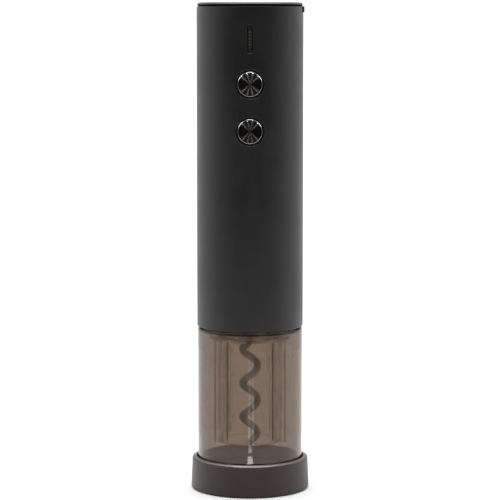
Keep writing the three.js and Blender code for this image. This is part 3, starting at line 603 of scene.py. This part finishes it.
def buildHousing():
    low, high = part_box("housing_shell")
    outside = radiusOf("housing_shell")
    wall, gap = housing["wall"], housing["portGap"]
    bore = outside - wall
    top = high.z - housing["topInset"]
    window = middleOf("indicator_lens").z
    pockets = [middleOf(f"{which}_bezel").z for which in ("upper", "lower")]
    # rings beyond each opening's two ends keep the long thin faces beside it short
    pocketReach = housing["pocketRadius"] + housing["ringMargin"]
    windowReach = housing["windowLength"] / 2 + housing["ringMargin"]
    openings = [(z, pocketReach) for z in pockets] + [(window, windowReach)]
    heights = sorted(z + side * reach for z, reach in openings for side in (-1, 1))
    shell = turned("housing", [
        (bore, low.z), (outside, low.z, housing["endRound"]), *[(outside, z) for z in heights],
        (outside, top, housing["topRound"]), (bore, top)])
    pocketBottom = -outside + housing["pocketDepth"]
    pocketBack = pocketBottom + housing["pocketFloor"]
    seatRadius = housing["pocketRadius"] + housing["pocketRim"]
    seats = [extruded("seat", circleAt(0, z, seatRadius), -bore - wall / 4, pocketBack) for z in pockets]
    carved(shell, seats, "UNION")
    front = -outside - mm
    tools = [extruded("pocket", circleAt(0, z, housing["pocketRadius"], sides=96), front, pocketBottom)
             for z in pockets]
    tools += [extruded("stem", circleAt(0, z, housing["stemHole"]), -outside, pocketBack + mm)
              for z in pockets]
    slot = capsuleAt(0, window, housing["windowWidth"], housing["windowLength"])
    tools.append(extruded("window", slot, front, -bore + wall))
    portLow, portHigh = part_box("charge_port")
    notch = rectangleAt(bore - wall, outside + mm, portLow.y - gap, portHigh.y + gap)
    tools.append(extruded("notch", notch, portLow.z - gap, high.z + mm, "Z"))
    carved(shell, tools)
    softEdges(shell, housing["pocketEdge"])
    placed(shell, "opener", "housing_shell", softTouchBlack, angle=30)


buildHousing()


cap = {
    "thickness": 1 * mm,
    "chamfer": 0.8 * mm,
    "chamferRound": 0.25 * mm,
    "underRound": 0.05 * mm,
    "neckWall": 1.6 * mm,
    "neckGap": 0.3 * mm,
    "grooveDepth": 0.5 * mm,
    "paintedShadeReach": 0.1 * mm,
    "rest": 0.1 * mm,
    "portRoom": 2 * mm,
}


def buildCap():
    low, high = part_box("top_cap")
    outside = radiusOf("top_cap")
    under = high.z - cap["thickness"]
    neck = radiusOf("housing_shell") - housing["wall"] - cap["neckGap"]
    inner = neck - cap["neckWall"]
    groove = radiusOf("housing_shell") - cap["grooveDepth"]
    step = highOf("housing_shell").z - housing["topInset"] + cap["rest"]
    chamfer, soft, room = cap["chamfer"], cap["chamferRound"], cap["portRoom"]
    plate = turned("topCap", [
        (0, under), (inner, under), (inner, low.z), (neck, low.z), (neck, step), (groove, step),
        (groove, under), (outside, under, cap["underRound"]), (outside, high.z - chamfer, soft),
        (outside - chamfer, high.z, soft), (0, high.z)], steps=8)
    portLow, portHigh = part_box("port_board")
    place = rectangleAt(portLow.x, outside + mm, portLow.y - room, portHigh.y + room)
    carved(plate, [extruded("room", place, low.z - mm, step, "Z")])
    placed(plate, "opener", "top_cap", softTouchBlack)
    # the groove under the plate gets a near-black, dull finish: painted shade in the gap
    plate.data.materials.append(paintedGrooveShade)
    for face in plate.data.polygons:
        across = math.hypot(face.center.x, face.center.y)
        if step < face.center.z < under and abs(across - groove) < cap["paintedShadeReach"]:
            face.material_index = 1


buildCap()
print("housing and cap built")


button = {
    "rimRound": 0.25 * mm,
    "rimWidth": 0.5 * mm,
    "dish": 0.02 * mm,
    "facePitch": 0.25 * mm,
    "faceDepth": 1.2 * mm,
    "stemRadius": 2 * mm,
    "stemRound": 0.2 * mm,
    "sides": 144,
}


def buildButton(which):
    node = f"{which}_button"
    low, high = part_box(node)
    radius = radiusOf(node)
    back = low.y - high.y
    edge = radius - button["rimWidth"]
    rings = round(edge / button["facePitch"])
    face = []
    for i in range(rings):
        r = edge * (1 - i / rings)
        face.append((r, -button["dish"] * (1 - (r / edge) ** 2)))
    stem, under = button["stemRadius"], -button["faceDepth"]
    cup = turned(f"{which}Button", [
        (0, back), (stem, back, button["stemRound"]), (stem, under), (radius, under),
        (radius, 0, button["rimRound"]), *face, (0, -button["dish"])], sides=button["sides"])
    facingFront(cup, Vector((0, low.y, middleOf(node).z)))
    placed(cup, node, node, spunNickel)


bezel = {
    "gap": 0.08 * mm,
    "inset": 0.28 * mm,
    "fall": 0.17 * mm,
    "edge": 0.05 * mm,
}


def buildBezel(which):
    node = f"{which}_bezel"
    low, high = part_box(node)
    radius = radiusOf(node) - bezel["inset"]
    height = high.y - low.y
    bore = radiusOf(f"{which}_button") + bezel["gap"]
    ring = turned(f"{which}Bezel", [
        (bore, 0), (radius, 0), (radius, height - bezel["fall"], bezel["edge"]),
        (bore, height, bezel["edge"])], sides=button["sides"])
    facingFront(ring, Vector((0, high.y, middleOf(node).z)))
    placed(ring, "opener", node, brightTrim)


for which in ("upper", "lower"):
    buildButton(which)
    buildBezel(which)
print("buttons built")


lens = {
    "gap": 0.12 * mm,
    "frontRound": 0.25 * mm,
    "flangeLip": 1.0 * mm,
    "flangeThickness": 0.8 * mm,
}


def buildLens():
    low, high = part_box("indicator_lens")
    flangeFront = high.y - lens["flangeThickness"]
    width, length = housing["windowWidth"], housing["windowLength"]
    gap, lip = lens["gap"], lens["flangeLip"]
    front = capsuleAt(0, 0, width - 2 * gap, length - 2 * gap)
    pane = extruded("indicatorLens", front, low.y, flangeFront + gap)
    back = capsuleAt(0, 0, width + 2 * lip, length + 2 * lip)
    carved(pane, [extruded("flange", back, flangeFront, high.y)], "UNION")
    softEdges(pane, lens["frontRound"], segments=3)
    pane.location = (0, 0, middleOf("indicator_lens").z)
    placed(pane, "opener", "indicator_lens", smokedLens)


buildLens()


flap = {
    "columns": 24,
    "thickness": 0.45 * mm,
    "edge": 0.12 * mm,
    "plugInset": 0.7 * mm,
    "plugShift": 0.1 * mm,
}


def buildFlap():
    low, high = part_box("port_flap")
    outside = high.x
    inside = outside - flap["thickness"]
    half = math.asin(high.y / outside)
    turns = [half * (2 * i / flap["columns"] - 1) for i in range(flap["columns"] + 1)]
    outline = [(outside * math.cos(turn), outside * math.sin(turn)) for turn in turns]
    outline += [(inside * math.cos(turn), inside * math.sin(turn)) for turn in reversed(turns)]
    skin = extruded("portFlap", outline, low.z, high.z, "Z")
    portLow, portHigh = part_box("charge_port")
    inset = flap["plugInset"]
    plug = rectangleAt(low.x, inside + flap["thickness"] / 2, portLow.y + inset + flap["plugShift"],
                       portHigh.y - inset)
    carved(skin, [extruded("plug", plug, portLow.z + inset, portHigh.z - inset, "Z")], "UNION")
    softEdges(skin, flap["edge"])
    placed(skin, "port_flap", "port_flap", flapRubber)


buildFlap()
print("window and flap built")


sleeve = {
    "wall": 2 * mm,
    "shoulderThickness": 1 * mm,
    "shoulderRound": 0.4 * mm,
    "footRound": 0.25 * mm,
    "innerRound": 0.5 * mm,
    "neckWall": 2 * mm,
    "neckGap": 0.3 * mm,
    "neckRound": 0.15 * mm,
}
collar = {
    "wall": 1 * mm,
    "inset": 1.5 * mm,
    "gap": 0.3 * mm,
    "flange": 0.4 * mm,
    "edge": 0.1 * mm,
}
corkTube = {
    "boreRadius": 13.2 * mm,
    "wall": 1.7 * mm,
    "flange": 1.5 * mm,
    "flangeRadius": 19.1 * mm,
    "chuckHole": 6.6 * mm,
    "gap": 0.3 * mm,
    "round": 0.3 * mm,
    "flangeRound": 0.2 * mm,
    "ribThickness": 1.2 * mm,
    "ribGap": 0.4 * mm,
    "ribStart": 2 * mm,
    "ribEdge": 0.12 * mm,
    "stubInset": 0.1 * mm,
    "gripStart": 6 * mm,
    "gripHeight": 0.7 * mm,
    "gripWidth": 1.2 * mm,
    "ribTurns": [45, 135, 225, 315],
}


def buildSleeve():
    low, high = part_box("clear_sleeve")
    outside = radiusOf("clear_sleeve")
    bore = outside - sleeve["wall"]
    shoulder = lowOf("lower_collar").z - sleeve["neckGap"]
    under = shoulder - sleeve["shoulderThickness"]
    neck = radiusOf("lower_collar") - collar["wall"] - sleeve["neckGap"]
    neckBore = neck - sleeve["neckWall"]
    foot, soft = sleeve["footRound"], sleeve["neckRound"]
    tube = turned("clearSleeve", [
        (bore, low.z, foot), (outside, low.z, foot), (outside, shoulder, sleeve["shoulderRound"]),
        (neck, shoulder, soft), (neck, high.z, soft), (neckBore, high.z, soft), (neckBore, under, soft),
        (bore, under, sleeve["innerRound"])], sides=256)
    placed(tube, "opener", "clear_sleeve", smokeClear)


def buildCorkTube():
    low = lowOf("cork_tube")
    top = lowOf("worm_chuck").z - corkTube["gap"]
    bore, hole, flangeEdge = corkTube["boreRadius"], corkTube["chuckHole"], corkTube["flangeRadius"]
    outside = bore + corkTube["wall"]
    flangeUnder = top - corkTube["flange"]
    soft, fine = corkTube["round"], corkTube["flangeRound"]
    cup = turned("corkTube", [
        (bore, low.z, soft), (outside, low.z, soft), (outside, flangeUnder, soft),
        (flangeEdge, flangeUnder, fine), (flangeEdge, top, soft), (hole, top, fine),
        (hole, flangeUnder, fine), (bore, flangeUnder, soft)])
    middle = bore + corkTube["wall"] / 2
    reach = radiusOf("clear_sleeve") - sleeve["wall"] - corkTube["ribGap"]
    shoulder = lowOf("lower_collar").z - sleeve["neckGap"]
    ribTop = shoulder - sleeve["shoulderThickness"] - corkTube["gap"]
    half, gripHalf = corkTube["ribThickness"] / 2, corkTube["gripWidth"] / 2
    inFlange = top - corkTube["flange"] / 2
    # a rib almost reaches the sleeve below the flange, and the flange's edge above it; grips run inside
    blocks = [
        (rectangleAt(middle, reach, -half, half), low.z + corkTube["ribStart"], inFlange),
        (rectangleAt(middle, flangeEdge - corkTube["stubInset"], -half, half), flangeUnder, ribTop),
        (rectangleAt(bore - corkTube["gripHeight"], middle, -gripHalf, gripHalf),
         low.z + corkTube["gripStart"], inFlange),
    ]
    tools = []
    for turn in corkTube["ribTurns"]:
        for outline, start, end in blocks:
            block = extruded("block", outline, start, end, "Z")
            block.data.transform(Matrix.Rotation(math.radians(turn), 4, "Z"))
            tools.append(block)
    carved(cup, tools, "UNION")
    softEdges(cup, corkTube["ribEdge"], angle=50)
    placed(cup, "opener", "cork_tube", tubeClear)


def buildCollar():
    low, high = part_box("lower_collar")
    outside = radiusOf("housing_shell") - collar["inset"]
    inner = radiusOf("housing_shell") - housing["wall"] - collar["gap"]
    bore = inner - collar["wall"]
    flangeTop = low.z + collar["flange"]
    ring = turned("lowerCollar", [
        (bore, low.z), (outside, low.z, collar["edge"]), (outside, flangeTop, collar["edge"]),
        (inner, flangeTop), (inner, high.z), (bore, high.z)])
    placed(ring, "opener", "lower_collar", innerPlastic)


buildSleeve()
buildCorkTube()
buildCollar()
print("sleeve and cork tube built")


worm = {
    "wire": 1.7 * mm,
    "pitch": 16.3 * mm,
    "pointLength": 5 * mm,
    "pointRound": 0.5 * mm,
    "pointShare": 0.03,
    "bareShank": 2.2 * mm,
    "entry": 4.1 * mm,
    "exit": 8 * mm,
    "leftTurnDrop": 23.3 * mm,
    "lookAhead": 0.05 * mm,
    "steps": 420,
    "sides": 28,
}


def smoothRise(value, low, high):
    t = min(max((value - low) / (high - low), 0), 1)
    return t * t * (3 - 2 * t)


def buildWorm():
    low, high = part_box("corkscrew")
    chuckBottom = lowOf("worm_chuck").z
    reach = (high.x - low.x) / 2 - worm["wire"]
    shankEnd = chuckBottom - worm["bareShank"]
    top, tip = high.z, low.z

    def centreAt(z):
        leaving = 1 - smoothRise(z, shankEnd - worm["entry"], shankEnd)
        closing = smoothRise(z, tip - worm["exit"] / 4, tip + worm["exit"])
        out = reach * leaving * closing
        turn = math.pi + 2 * math.pi * (z - chuckBottom + worm["leftTurnDrop"]) / worm["pitch"]
        return Vector((out * math.cos(turn), out * math.sin(turn), z))

    bm = bmesh.new()
    rings = []
    for i in range(worm["steps"] + 1):
        z = top + (tip - top) * (i / worm["steps"])
        here = centreAt(z)
        ahead = (centreAt(z - worm["lookAhead"]) - centreAt(z + worm["lookAhead"])).normalized()
        side = ahead.cross(Vector((0, 1, 0))).normalized()
        other = ahead.cross(side)
        taper = smoothRise(z, tip - worm["pointRound"], tip + worm["pointLength"])
        thick = worm["wire"] * max(math.sqrt(taper), worm["pointShare"])
        rings.append([bm.verts.new(here + side * (thick * x) + other * (thick * y))
                      for x, y in circleAt(0, 0, 1, worm["sides"])])
    for near, far in zip(rings, rings[1:]):
        for k in range(worm["sides"]):
            n = (k + 1) % worm["sides"]
            bm.faces.new((near[k], near[n], far[n], far[k]))
    bm.faces.new(rings[0])
    bm.faces.new(rings[-1])
    wireScrew = meshObject("wormWire", bm)
    placed(wireScrew, "worm", "corkscrew", coatedWorm, angle=60)


chuck = {
    "wireHole": 1.8 * mm,
    "wireDepth": 6 * mm,
    "shaftHole": 3.1 * mm,
    "web": 1 * mm,
    "noseRound": 1 * mm,
    "edge": 0.2 * mm,
}


def buildChuck():
    low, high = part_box("worm_chuck")
    outside = radiusOf("worm_chuck")
    wire, shaft = chuck["wireHole"], chuck["shaftHole"]
    middle = low.z + chuck["wireDepth"] + chuck["web"]
    nose = turned("wormChuck", [
        (wire, low.z, chuck["edge"]), (outside, low.z, chuck["noseRound"]),
        (outside, high.z, chuck["edge"]), (shaft, high.z), (shaft, middle), (wire, middle)], sides=96)
    placed(nose, "worm", "worm_chuck", turnedSteel)


buildWorm()
buildChuck()
print("worm built")


base = {
    "taper": 0.6 * mm,
    "recessRadius": 25.3 * mm,
    "recessRound": 0.4 * mm,
    "rimFlat": 1.0 * mm,
    "rimDrop": 0.75 * mm,
    "rimRound": 0.6 * mm,
    "rimEdge": 0.3 * mm,
    "grooveWidth": 0.25 * mm,
    "grooveDepth": 0.22 * mm,
    "grooveEdge": 0.1 * mm,
    "footRound": 1.7 * mm,
    "footEdge": 0.15 * mm,
    "shelfHeight": 8 * mm,
    "shelfThickness": 3 * mm,
    "coverThickness": 2 * mm,
    "coverGap": 0.3 * mm,
    "neckRadius": 16.5 * mm,
    "neckRound": 0.5 * mm,
    "neckLip": 1.2 * mm,
    "cutterRoom": 5.6 * mm,
}


def buildBase():
    low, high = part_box("base_shell")
    foot = radiusOf("base_shell")
    rim = foot - base["taper"]
    recessRadius, shelf, neck = base["recessRadius"], base["shelfHeight"], base["neckRadius"]
    shelfUnder = shelf - base["shelfThickness"]
    coverEdge = radiusOf("base_cover") + base["coverGap"]
    lip, lipLow = neck + base["neckLip"], base["coverThickness"] + base["coverGap"]
    rimTurn = high.z - base["rimDrop"]
    grooveLow = rimTurn - base["grooveWidth"]
    inGroove = rim - base["grooveDepth"]
    ring = turned("baseRing", [
        (neck, lipLow), (lip, lipLow), (lip, shelfUnder), (coverEdge, shelfUnder),
        (coverEdge, low.z, base["footEdge"]), (foot, low.z, base["footRound"]),
        (rim, grooveLow, base["grooveEdge"]), (inGroove, grooveLow), (inGroove, rimTurn),
        (rim, rimTurn, base["rimEdge"]), (recessRadius + base["rimFlat"], high.z, base["rimRound"]),
        (recessRadius, high.z, base["rimEdge"]), (recessRadius, shelf, base["recessRound"]),
        (neck, shelf, base["neckRound"])], sides=256)
    tools = []
    for number in (1, 2, 3, 4):
        centre = middleOf(f"cutter_wheel_{number}")
        room = circleAt(centre.x, centre.y, base["cutterRoom"])
        tools.append(extruded("room", room, base["coverThickness"], shelfUnder, "Z"))
    carved(ring, tools)
    placed(ring, "base", "base_shell", basePlastic, angle=35)


cover = {
    "neckRound": 0.4 * mm,
    "footRound": 0.3 * mm,
    "edge": 0.1 * mm,
    "sinkDepth": 1.4 * mm,
    "sinkGap": 0.3 * mm,
    "screwBore": 1.3 * mm,
}


def buildCover():
    low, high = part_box("base_cover")
    outside, neck, edge = radiusOf("base_cover"), base["neckRadius"], cover["edge"]
    plate = turned("baseCover", [
        (neck, low.z, cover["neckRound"]), (outside, low.z, cover["footRound"]),
        (outside, high.z, edge), (neck, high.z, edge)])
    tools = []
    for number in (1, 2):
        centre = middleOf(f"base_screw_{number}")
        sink = circleAt(centre.x, centre.y, radiusOf(f"base_screw_{number}") + cover["sinkGap"])
        tools.append(extruded("sink", sink, low.z - mm, low.z + cover["sinkDepth"], "Z"))
        bore = circleAt(centre.x, centre.y, cover["screwBore"])
        tools.append(extruded("bore", bore, low.z - mm, high.z + mm, "Z"))
    carved(plate, tools)
    softEdges(plate, edge, angle=60)
    placed(plate, "base", "base_cover", basePlastic)


screw = {
    "headHeight": 1.1 * mm,
    "headRound": 0.4 * mm,
    "headEdge": 0.1 * mm,
    "shank": 1.2 * mm,
    "slotHalf": 0.3 * mm,
    "slotDepth": 0.6 * mm,
    "slotShare": 0.6,
}


def buildBaseScrew(number):
    node = f"base_screw_{number}"
    low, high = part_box(node)
    centre = middleOf(node)
    head, shank, soft = radiusOf(node), screw["shank"], screw["headRound"]
    headTop = low.z + screw["headHeight"]
    pan = turned(f"baseScrew{number}", [
        (0, low.z), (head, low.z, soft), (head, headTop, screw["headEdge"]), (shank, headTop),
        (shank, high.z, soft), (0, high.z)], sides=48)
    reach, half = head * screw["slotShare"], screw["slotHalf"]
    deep = low.z + screw["slotDepth"]
    arms = [extruded("arm", rectangleAt(-x, x, -y, y), low.z - mm, deep, "Z")
            for x, y in ((reach, half), (half, reach))]
    carved(pan, arms)
    pan.data.transform(Matrix.Translation((centre.x, centre.y, 0)))
    placed(pan, "base", node, turnedSteel)


cutter = {
    "bore": 1.3 * mm,
    "hub": 2.4 * mm,
    "hubSlope": 0.2 * mm,
    "hubRise": 0.12 * mm,
    "hubRound": 0.1 * mm,
    "edgeRound": 0.04 * mm,
}


def buildCutter(number):
    node = f"cutter_wheel_{number}"
    low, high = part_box(node)
    radius = radiusOf(node)
    half = (high.z - low.z) / 2
    bore, hub, soft = cutter["bore"], cutter["hub"], cutter["hubRound"]
    web, slope, bevel = half - cutter["hubRise"], hub + cutter["hubSlope"], radius - 2 * half
    wheel = turned(f"cutterWheel{number}", [
        (bore, -half), (hub, -half, soft), (slope, -web), (bevel, -web, soft),
        (radius, 0, cutter["edgeRound"]), (bevel, web, soft), (slope, web), (hub, half, soft),
        (bore, half)], sides=96)
    wheel.location = middleOf(node)
    placed(wheel, f"cutter_{number}", node, cutterSteel, angle=30)


buildBase()
buildCover()
for number in (1, 2):
    buildBaseScrew(number)
for number in (1, 2, 3, 4):
    buildCutter(number)
print("base built")


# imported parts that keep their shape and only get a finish
innerFinishes = {
    "cutter_pin_1 cutter_pin_2 cutter_pin_3 cutter_pin_4": turnedSteel,
    "ring_gear output_carrier first_carrier": gearNylon,
    "output_planet_1 output_planet_2 output_planet_3": gearNylon,
    "first_planet_1 first_planet_2 first_planet_3": gearNylon,
    "output_bush motor_pinion": gearBrass,
    "motor_plate motor_screw_1 motor_screw_2 motor_can motor_shaft": turnedSteel,
    "gearbox_screw_1 gearbox_screw_2 gearbox_screw_3": turnedSteel,
    "motor_end_cap gearbox_nose upper_switch lower_switch": innerPlastic,
    "inner_frame": framePlastic,
    "battery_cell": cellWrap,
    "cell_tab_bottom cell_tab_top charge_port": brightTrim,
    "control_board port_board": boardGreen,
    "light_bar": gearNylon,
    "motor_lead_red cell_lead_red": redSheath,
    "motor_lead_black cell_lead_black": blackSheath,
}
for names, finish in innerFinishes.items():
    for name in names.split():
        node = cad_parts[name]
        node.data.materials.clear()
        node.data.materials.append(finish)
print("inner parts finished")


studio = {
    "floorRadius": 0.44,
    "floorSides": 96,
    "floorDrop": 0.02 * mm,
    "turn": (-0.88, 0.25),
    "front": 0.17,
    "side": 1.0,
    "behind": 1.36,
    # where the floor's painted reflection fades in, and how much of the room's level it takes
    "paintedReflectionStart": 0.13,
    "paintedReflectionEnd": 0.155,
    "paintedReflectionShare": 0.72,
}
# painted glints on the floor, which only sharp reflections off the clear sleeve show
paintedGlints = {
    "start": 0.094,
    "end": 0.144,
    "widths": (0.1, 0.05),
    "fade": 0.4,
    "gap": 0.122,
    "gapFade": (0.002, 0.006),
    "gapLevel": 0.1,
    "level": 9.0,
    "lineTurns": [0.027, -0.107],
    "lineWidth": 0.021,
    "lineLevel": 3.9,
    "lineFade": 0.5,
}


def mirrorRays(tree):
    # 1 for rays that left a clear piece as a sharp reflection, 0 for all others
    path = tree.nodes.new("ShaderNodeLightPath")
    through = mathNode(tree, "SUBTRACT", 1.0, path.outputs["Is Transmission Ray"])
    return product(tree, path.outputs["Is Singular Ray"], through)


def roomLevel(tree, forward):
    # dark ahead of the object, pale to its sides and behind it
    return spread(tree, forward, *studio["turn"], studio["front"], studio["side"])


def addPaintedGlints(tree, shader, sides, distance):
    # painted glints: the floor glows in two bright spots ahead of the object, seen only in sharp
    # reflections off the clear sleeve
    start, end = paintedGlints["start"], paintedGlints["end"]
    turn = mathNode(tree, "DIVIDE", sides["X"], sides["Y"])
    ahead = mathNode(tree, "LESS_THAN", sides["Y"], 0.0)
    early = mathNode(tree, "LESS_THAN", distance, end)
    late = mathNode(tree, "GREATER_THAN", distance, start)
    width = spread(tree, distance, start, end, *paintedGlints["widths"])
    narrow = mathNode(tree, "LESS_THAN", mathNode(tree, "ABSOLUTE", turn), width)
    fromGap = mathNode(tree, "ABSOLUTE", mathNode(tree, "SUBTRACT", distance, paintedGlints["gap"]))
    level = spread(tree, fromGap, *paintedGlints["gapFade"], paintedGlints["gapLevel"], paintedGlints["level"])
    fade = spread(tree, distance, start, end, 1.0, paintedGlints["fade"])
    paintedGlintSpots = product(tree, mirrorRays(tree), narrow, early, late, ahead, level, fade)
    # and two faint painted lines further out, which run up its front in the same reflections
    offsets = [mathNode(tree, "ABSOLUTE", mathNode(tree, "SUBTRACT", turn, place))
               for place in paintedGlints["lineTurns"]]
    onLine = mathNode(tree, "LESS_THAN", mathNode(tree, "MINIMUM", *offsets), paintedGlints["lineWidth"])
    further = mathNode(tree, "SUBTRACT", 1.0, early)
    farFade = spread(tree, distance, end, studio["floorRadius"], 1.0, paintedGlints["lineFade"])
    paintedGlintLines = product(tree, mirrorRays(tree), paintedGlints["lineLevel"], onLine, further, ahead, farFade)
    tree.links.new(mathNode(tree, "ADD", paintedGlintSpots, paintedGlintLines), shader.inputs["Emission Color"])
    shader.inputs["Emission Strength"].default_value = 1.0


def buildFloor():
    outline = circleAt(0, 0, studio["floorRadius"], studio["floorSides"])
    bm = bmesh.new()
    bm.faces.new([bm.verts.new((x, y, cadLow.z - studio["floorDrop"])) for x, y in outline])
    floor = meshObject("paleFloor", bm)
    finish, tree, shader = newFinish("paleFloor", Roughness=0.9)
    tone = addGroup(tree, "grain", Grain_Scale=60.0, Patch_Scale=2.0)["Tone"]
    pale = mixColours(tree, tone, (0.86, 0.86, 0.86), (0.88, 0.88, 0.88))
    length = tree.nodes.new("ShaderNodeVectorMath")
    length.operation = "LENGTH"
    tree.links.new(objectPoint(tree), length.inputs[0])
    distance = length.outputs["Value"]
    sides = splitUp(tree, objectPoint(tree))
    # painted reflection: in sharp reflections off clear plastic, the floor further out takes the room's
    # level instead of its pale colour, darker ahead of the object
    far = spread(tree, distance, studio["paintedReflectionStart"], studio["paintedReflectionEnd"])
    room = roomLevel(tree, mathNode(tree, "DIVIDE", sides["Y"], distance))
    paintedReflectionShade = product(tree, room, studio["paintedReflectionShare"])
    share = product(tree, far, mirrorRays(tree))
    tree.links.new(mixColours(tree, share, pale, paintedReflectionShade), shader.inputs["Base Color"])
    addPaintedGlints(tree, shader, sides, distance)
    floor.data.materials.append(finish)


def buildSurroundings():
    world = bpy.data.worlds.new("studioRoom")
    bpy.context.scene.world = world
    world.use_nodes = True
    tree = world.node_tree
    tree.nodes.clear()
    direction = tree.nodes.new("ShaderNodeTexCoord").outputs["Generated"]
    room = roomLevel(tree, splitUp(tree, direction)["Y"])
    path = tree.nodes.new("ShaderNodeLightPath")
    seen = mathNode(tree, "MAXIMUM", path.outputs["Is Camera Ray"], path.outputs["Is Transmission Ray"])
    strength = mathNode(tree, "MAXIMUM", room, product(tree, seen, studio["behind"]))
    glow = tree.nodes.new("ShaderNodeBackground")
    glow.inputs["Color"].default_value = (1, 1, 1, 1)
    tree.links.new(strength, glow.inputs["Strength"])
    out = tree.nodes.new("ShaderNodeOutputWorld")
    tree.links.new(glow.outputs[0], out.inputs["Surface"])


def areaLight(name, place, aim, size, power):
    data = bpy.data.lights.new(name, "AREA")
    data.size = size
    data.energy = power
    light = bpy.data.objects.new(name, data)
    light.location = place
    light.rotation_euler = (Vector(aim) - Vector(place)).to_track_quat("-Z", "Y").to_euler()
    bpy.context.scene.collection.objects.link(light)
    return light


def lightOnly(pieces, name, places, aim, size, power):
    # lights that reach these pieces and nothing else
    lit = bpy.data.collections.new(f"{name}Lit")
    for piece in pieces:
        lit.objects.link(bpy.data.objects[piece])
    for i, place in enumerate(places):
        light = areaLight(f"{name}{i + 1}", place, aim, size, power)
        light.light_linking.receiver_collection = lit


overhead = {
    "place": (0, 0.15, 1.6),
    "aim": (0, 0.1, 0),
    "size": 1.6,
    "power": 30,
}
streaks = {
    "turns": [-16, 16, -50, 50],
    "reach": 0.36,
    "front": 0.87,
    "size": 0.02,
    "power": 11,
}
trims = {
    "turns": [-55, 0, 55],
    "reach": 0.8,
    "front": 0.46,
    "size": 0.45,
    "power": 4.7,
}
rimLight = {
    "places": [(0, 0.09, 0.62)],
    "size": 0.26,
    "power": 30,
}


def lightArc(pieces, name, arc):
    # lights in an arc over the buttons and ahead of them
    height = (middleOf("upper_button").z + middleOf("lower_button").z) / 2
    places = [(arc["reach"] * math.sin(math.radians(turn)), -arc["front"],
               height + arc["reach"] * math.cos(math.radians(turn))) for turn in arc["turns"]]
    lightOnly(pieces, name, places, (0, 0, height), arc["size"], arc["power"])


buildFloor()
buildSurroundings()
areaLight("overhead", **overhead)
lightArc(["upperButton", "lowerButton"], "streak", streaks)
lightArc(["upperBezel", "lowerBezel"], "trim", trims)
rimFront = (0, -radiusOf("base_shell"), highOf("base_shell").z)
lightOnly(["baseRing"], "rim", aim=rimFront, **rimLight)
print("studio built")


frontView = {
    "distance": 0.9961,
    "height": 0.2219,
    "pitch": 6.22,
    "focal": 152.73,
    "sensor": 36,
}
cameraData = bpy.data.cameras.new("frontView")
cameraData.sensor_width = frontView["sensor"]
cameraData.lens = frontView["focal"]
camera = bpy.data.objects.new("frontView", cameraData)
camera.location = (0, -frontView["distance"], frontView["height"])
camera.rotation_euler = (math.radians(90 - frontView["pitch"]), 0, 0)
bpy.context.scene.collection.objects.link(camera)
bpy.context.scene.camera = camera
bpy.context.scene.view_settings.view_transform = "Standard"
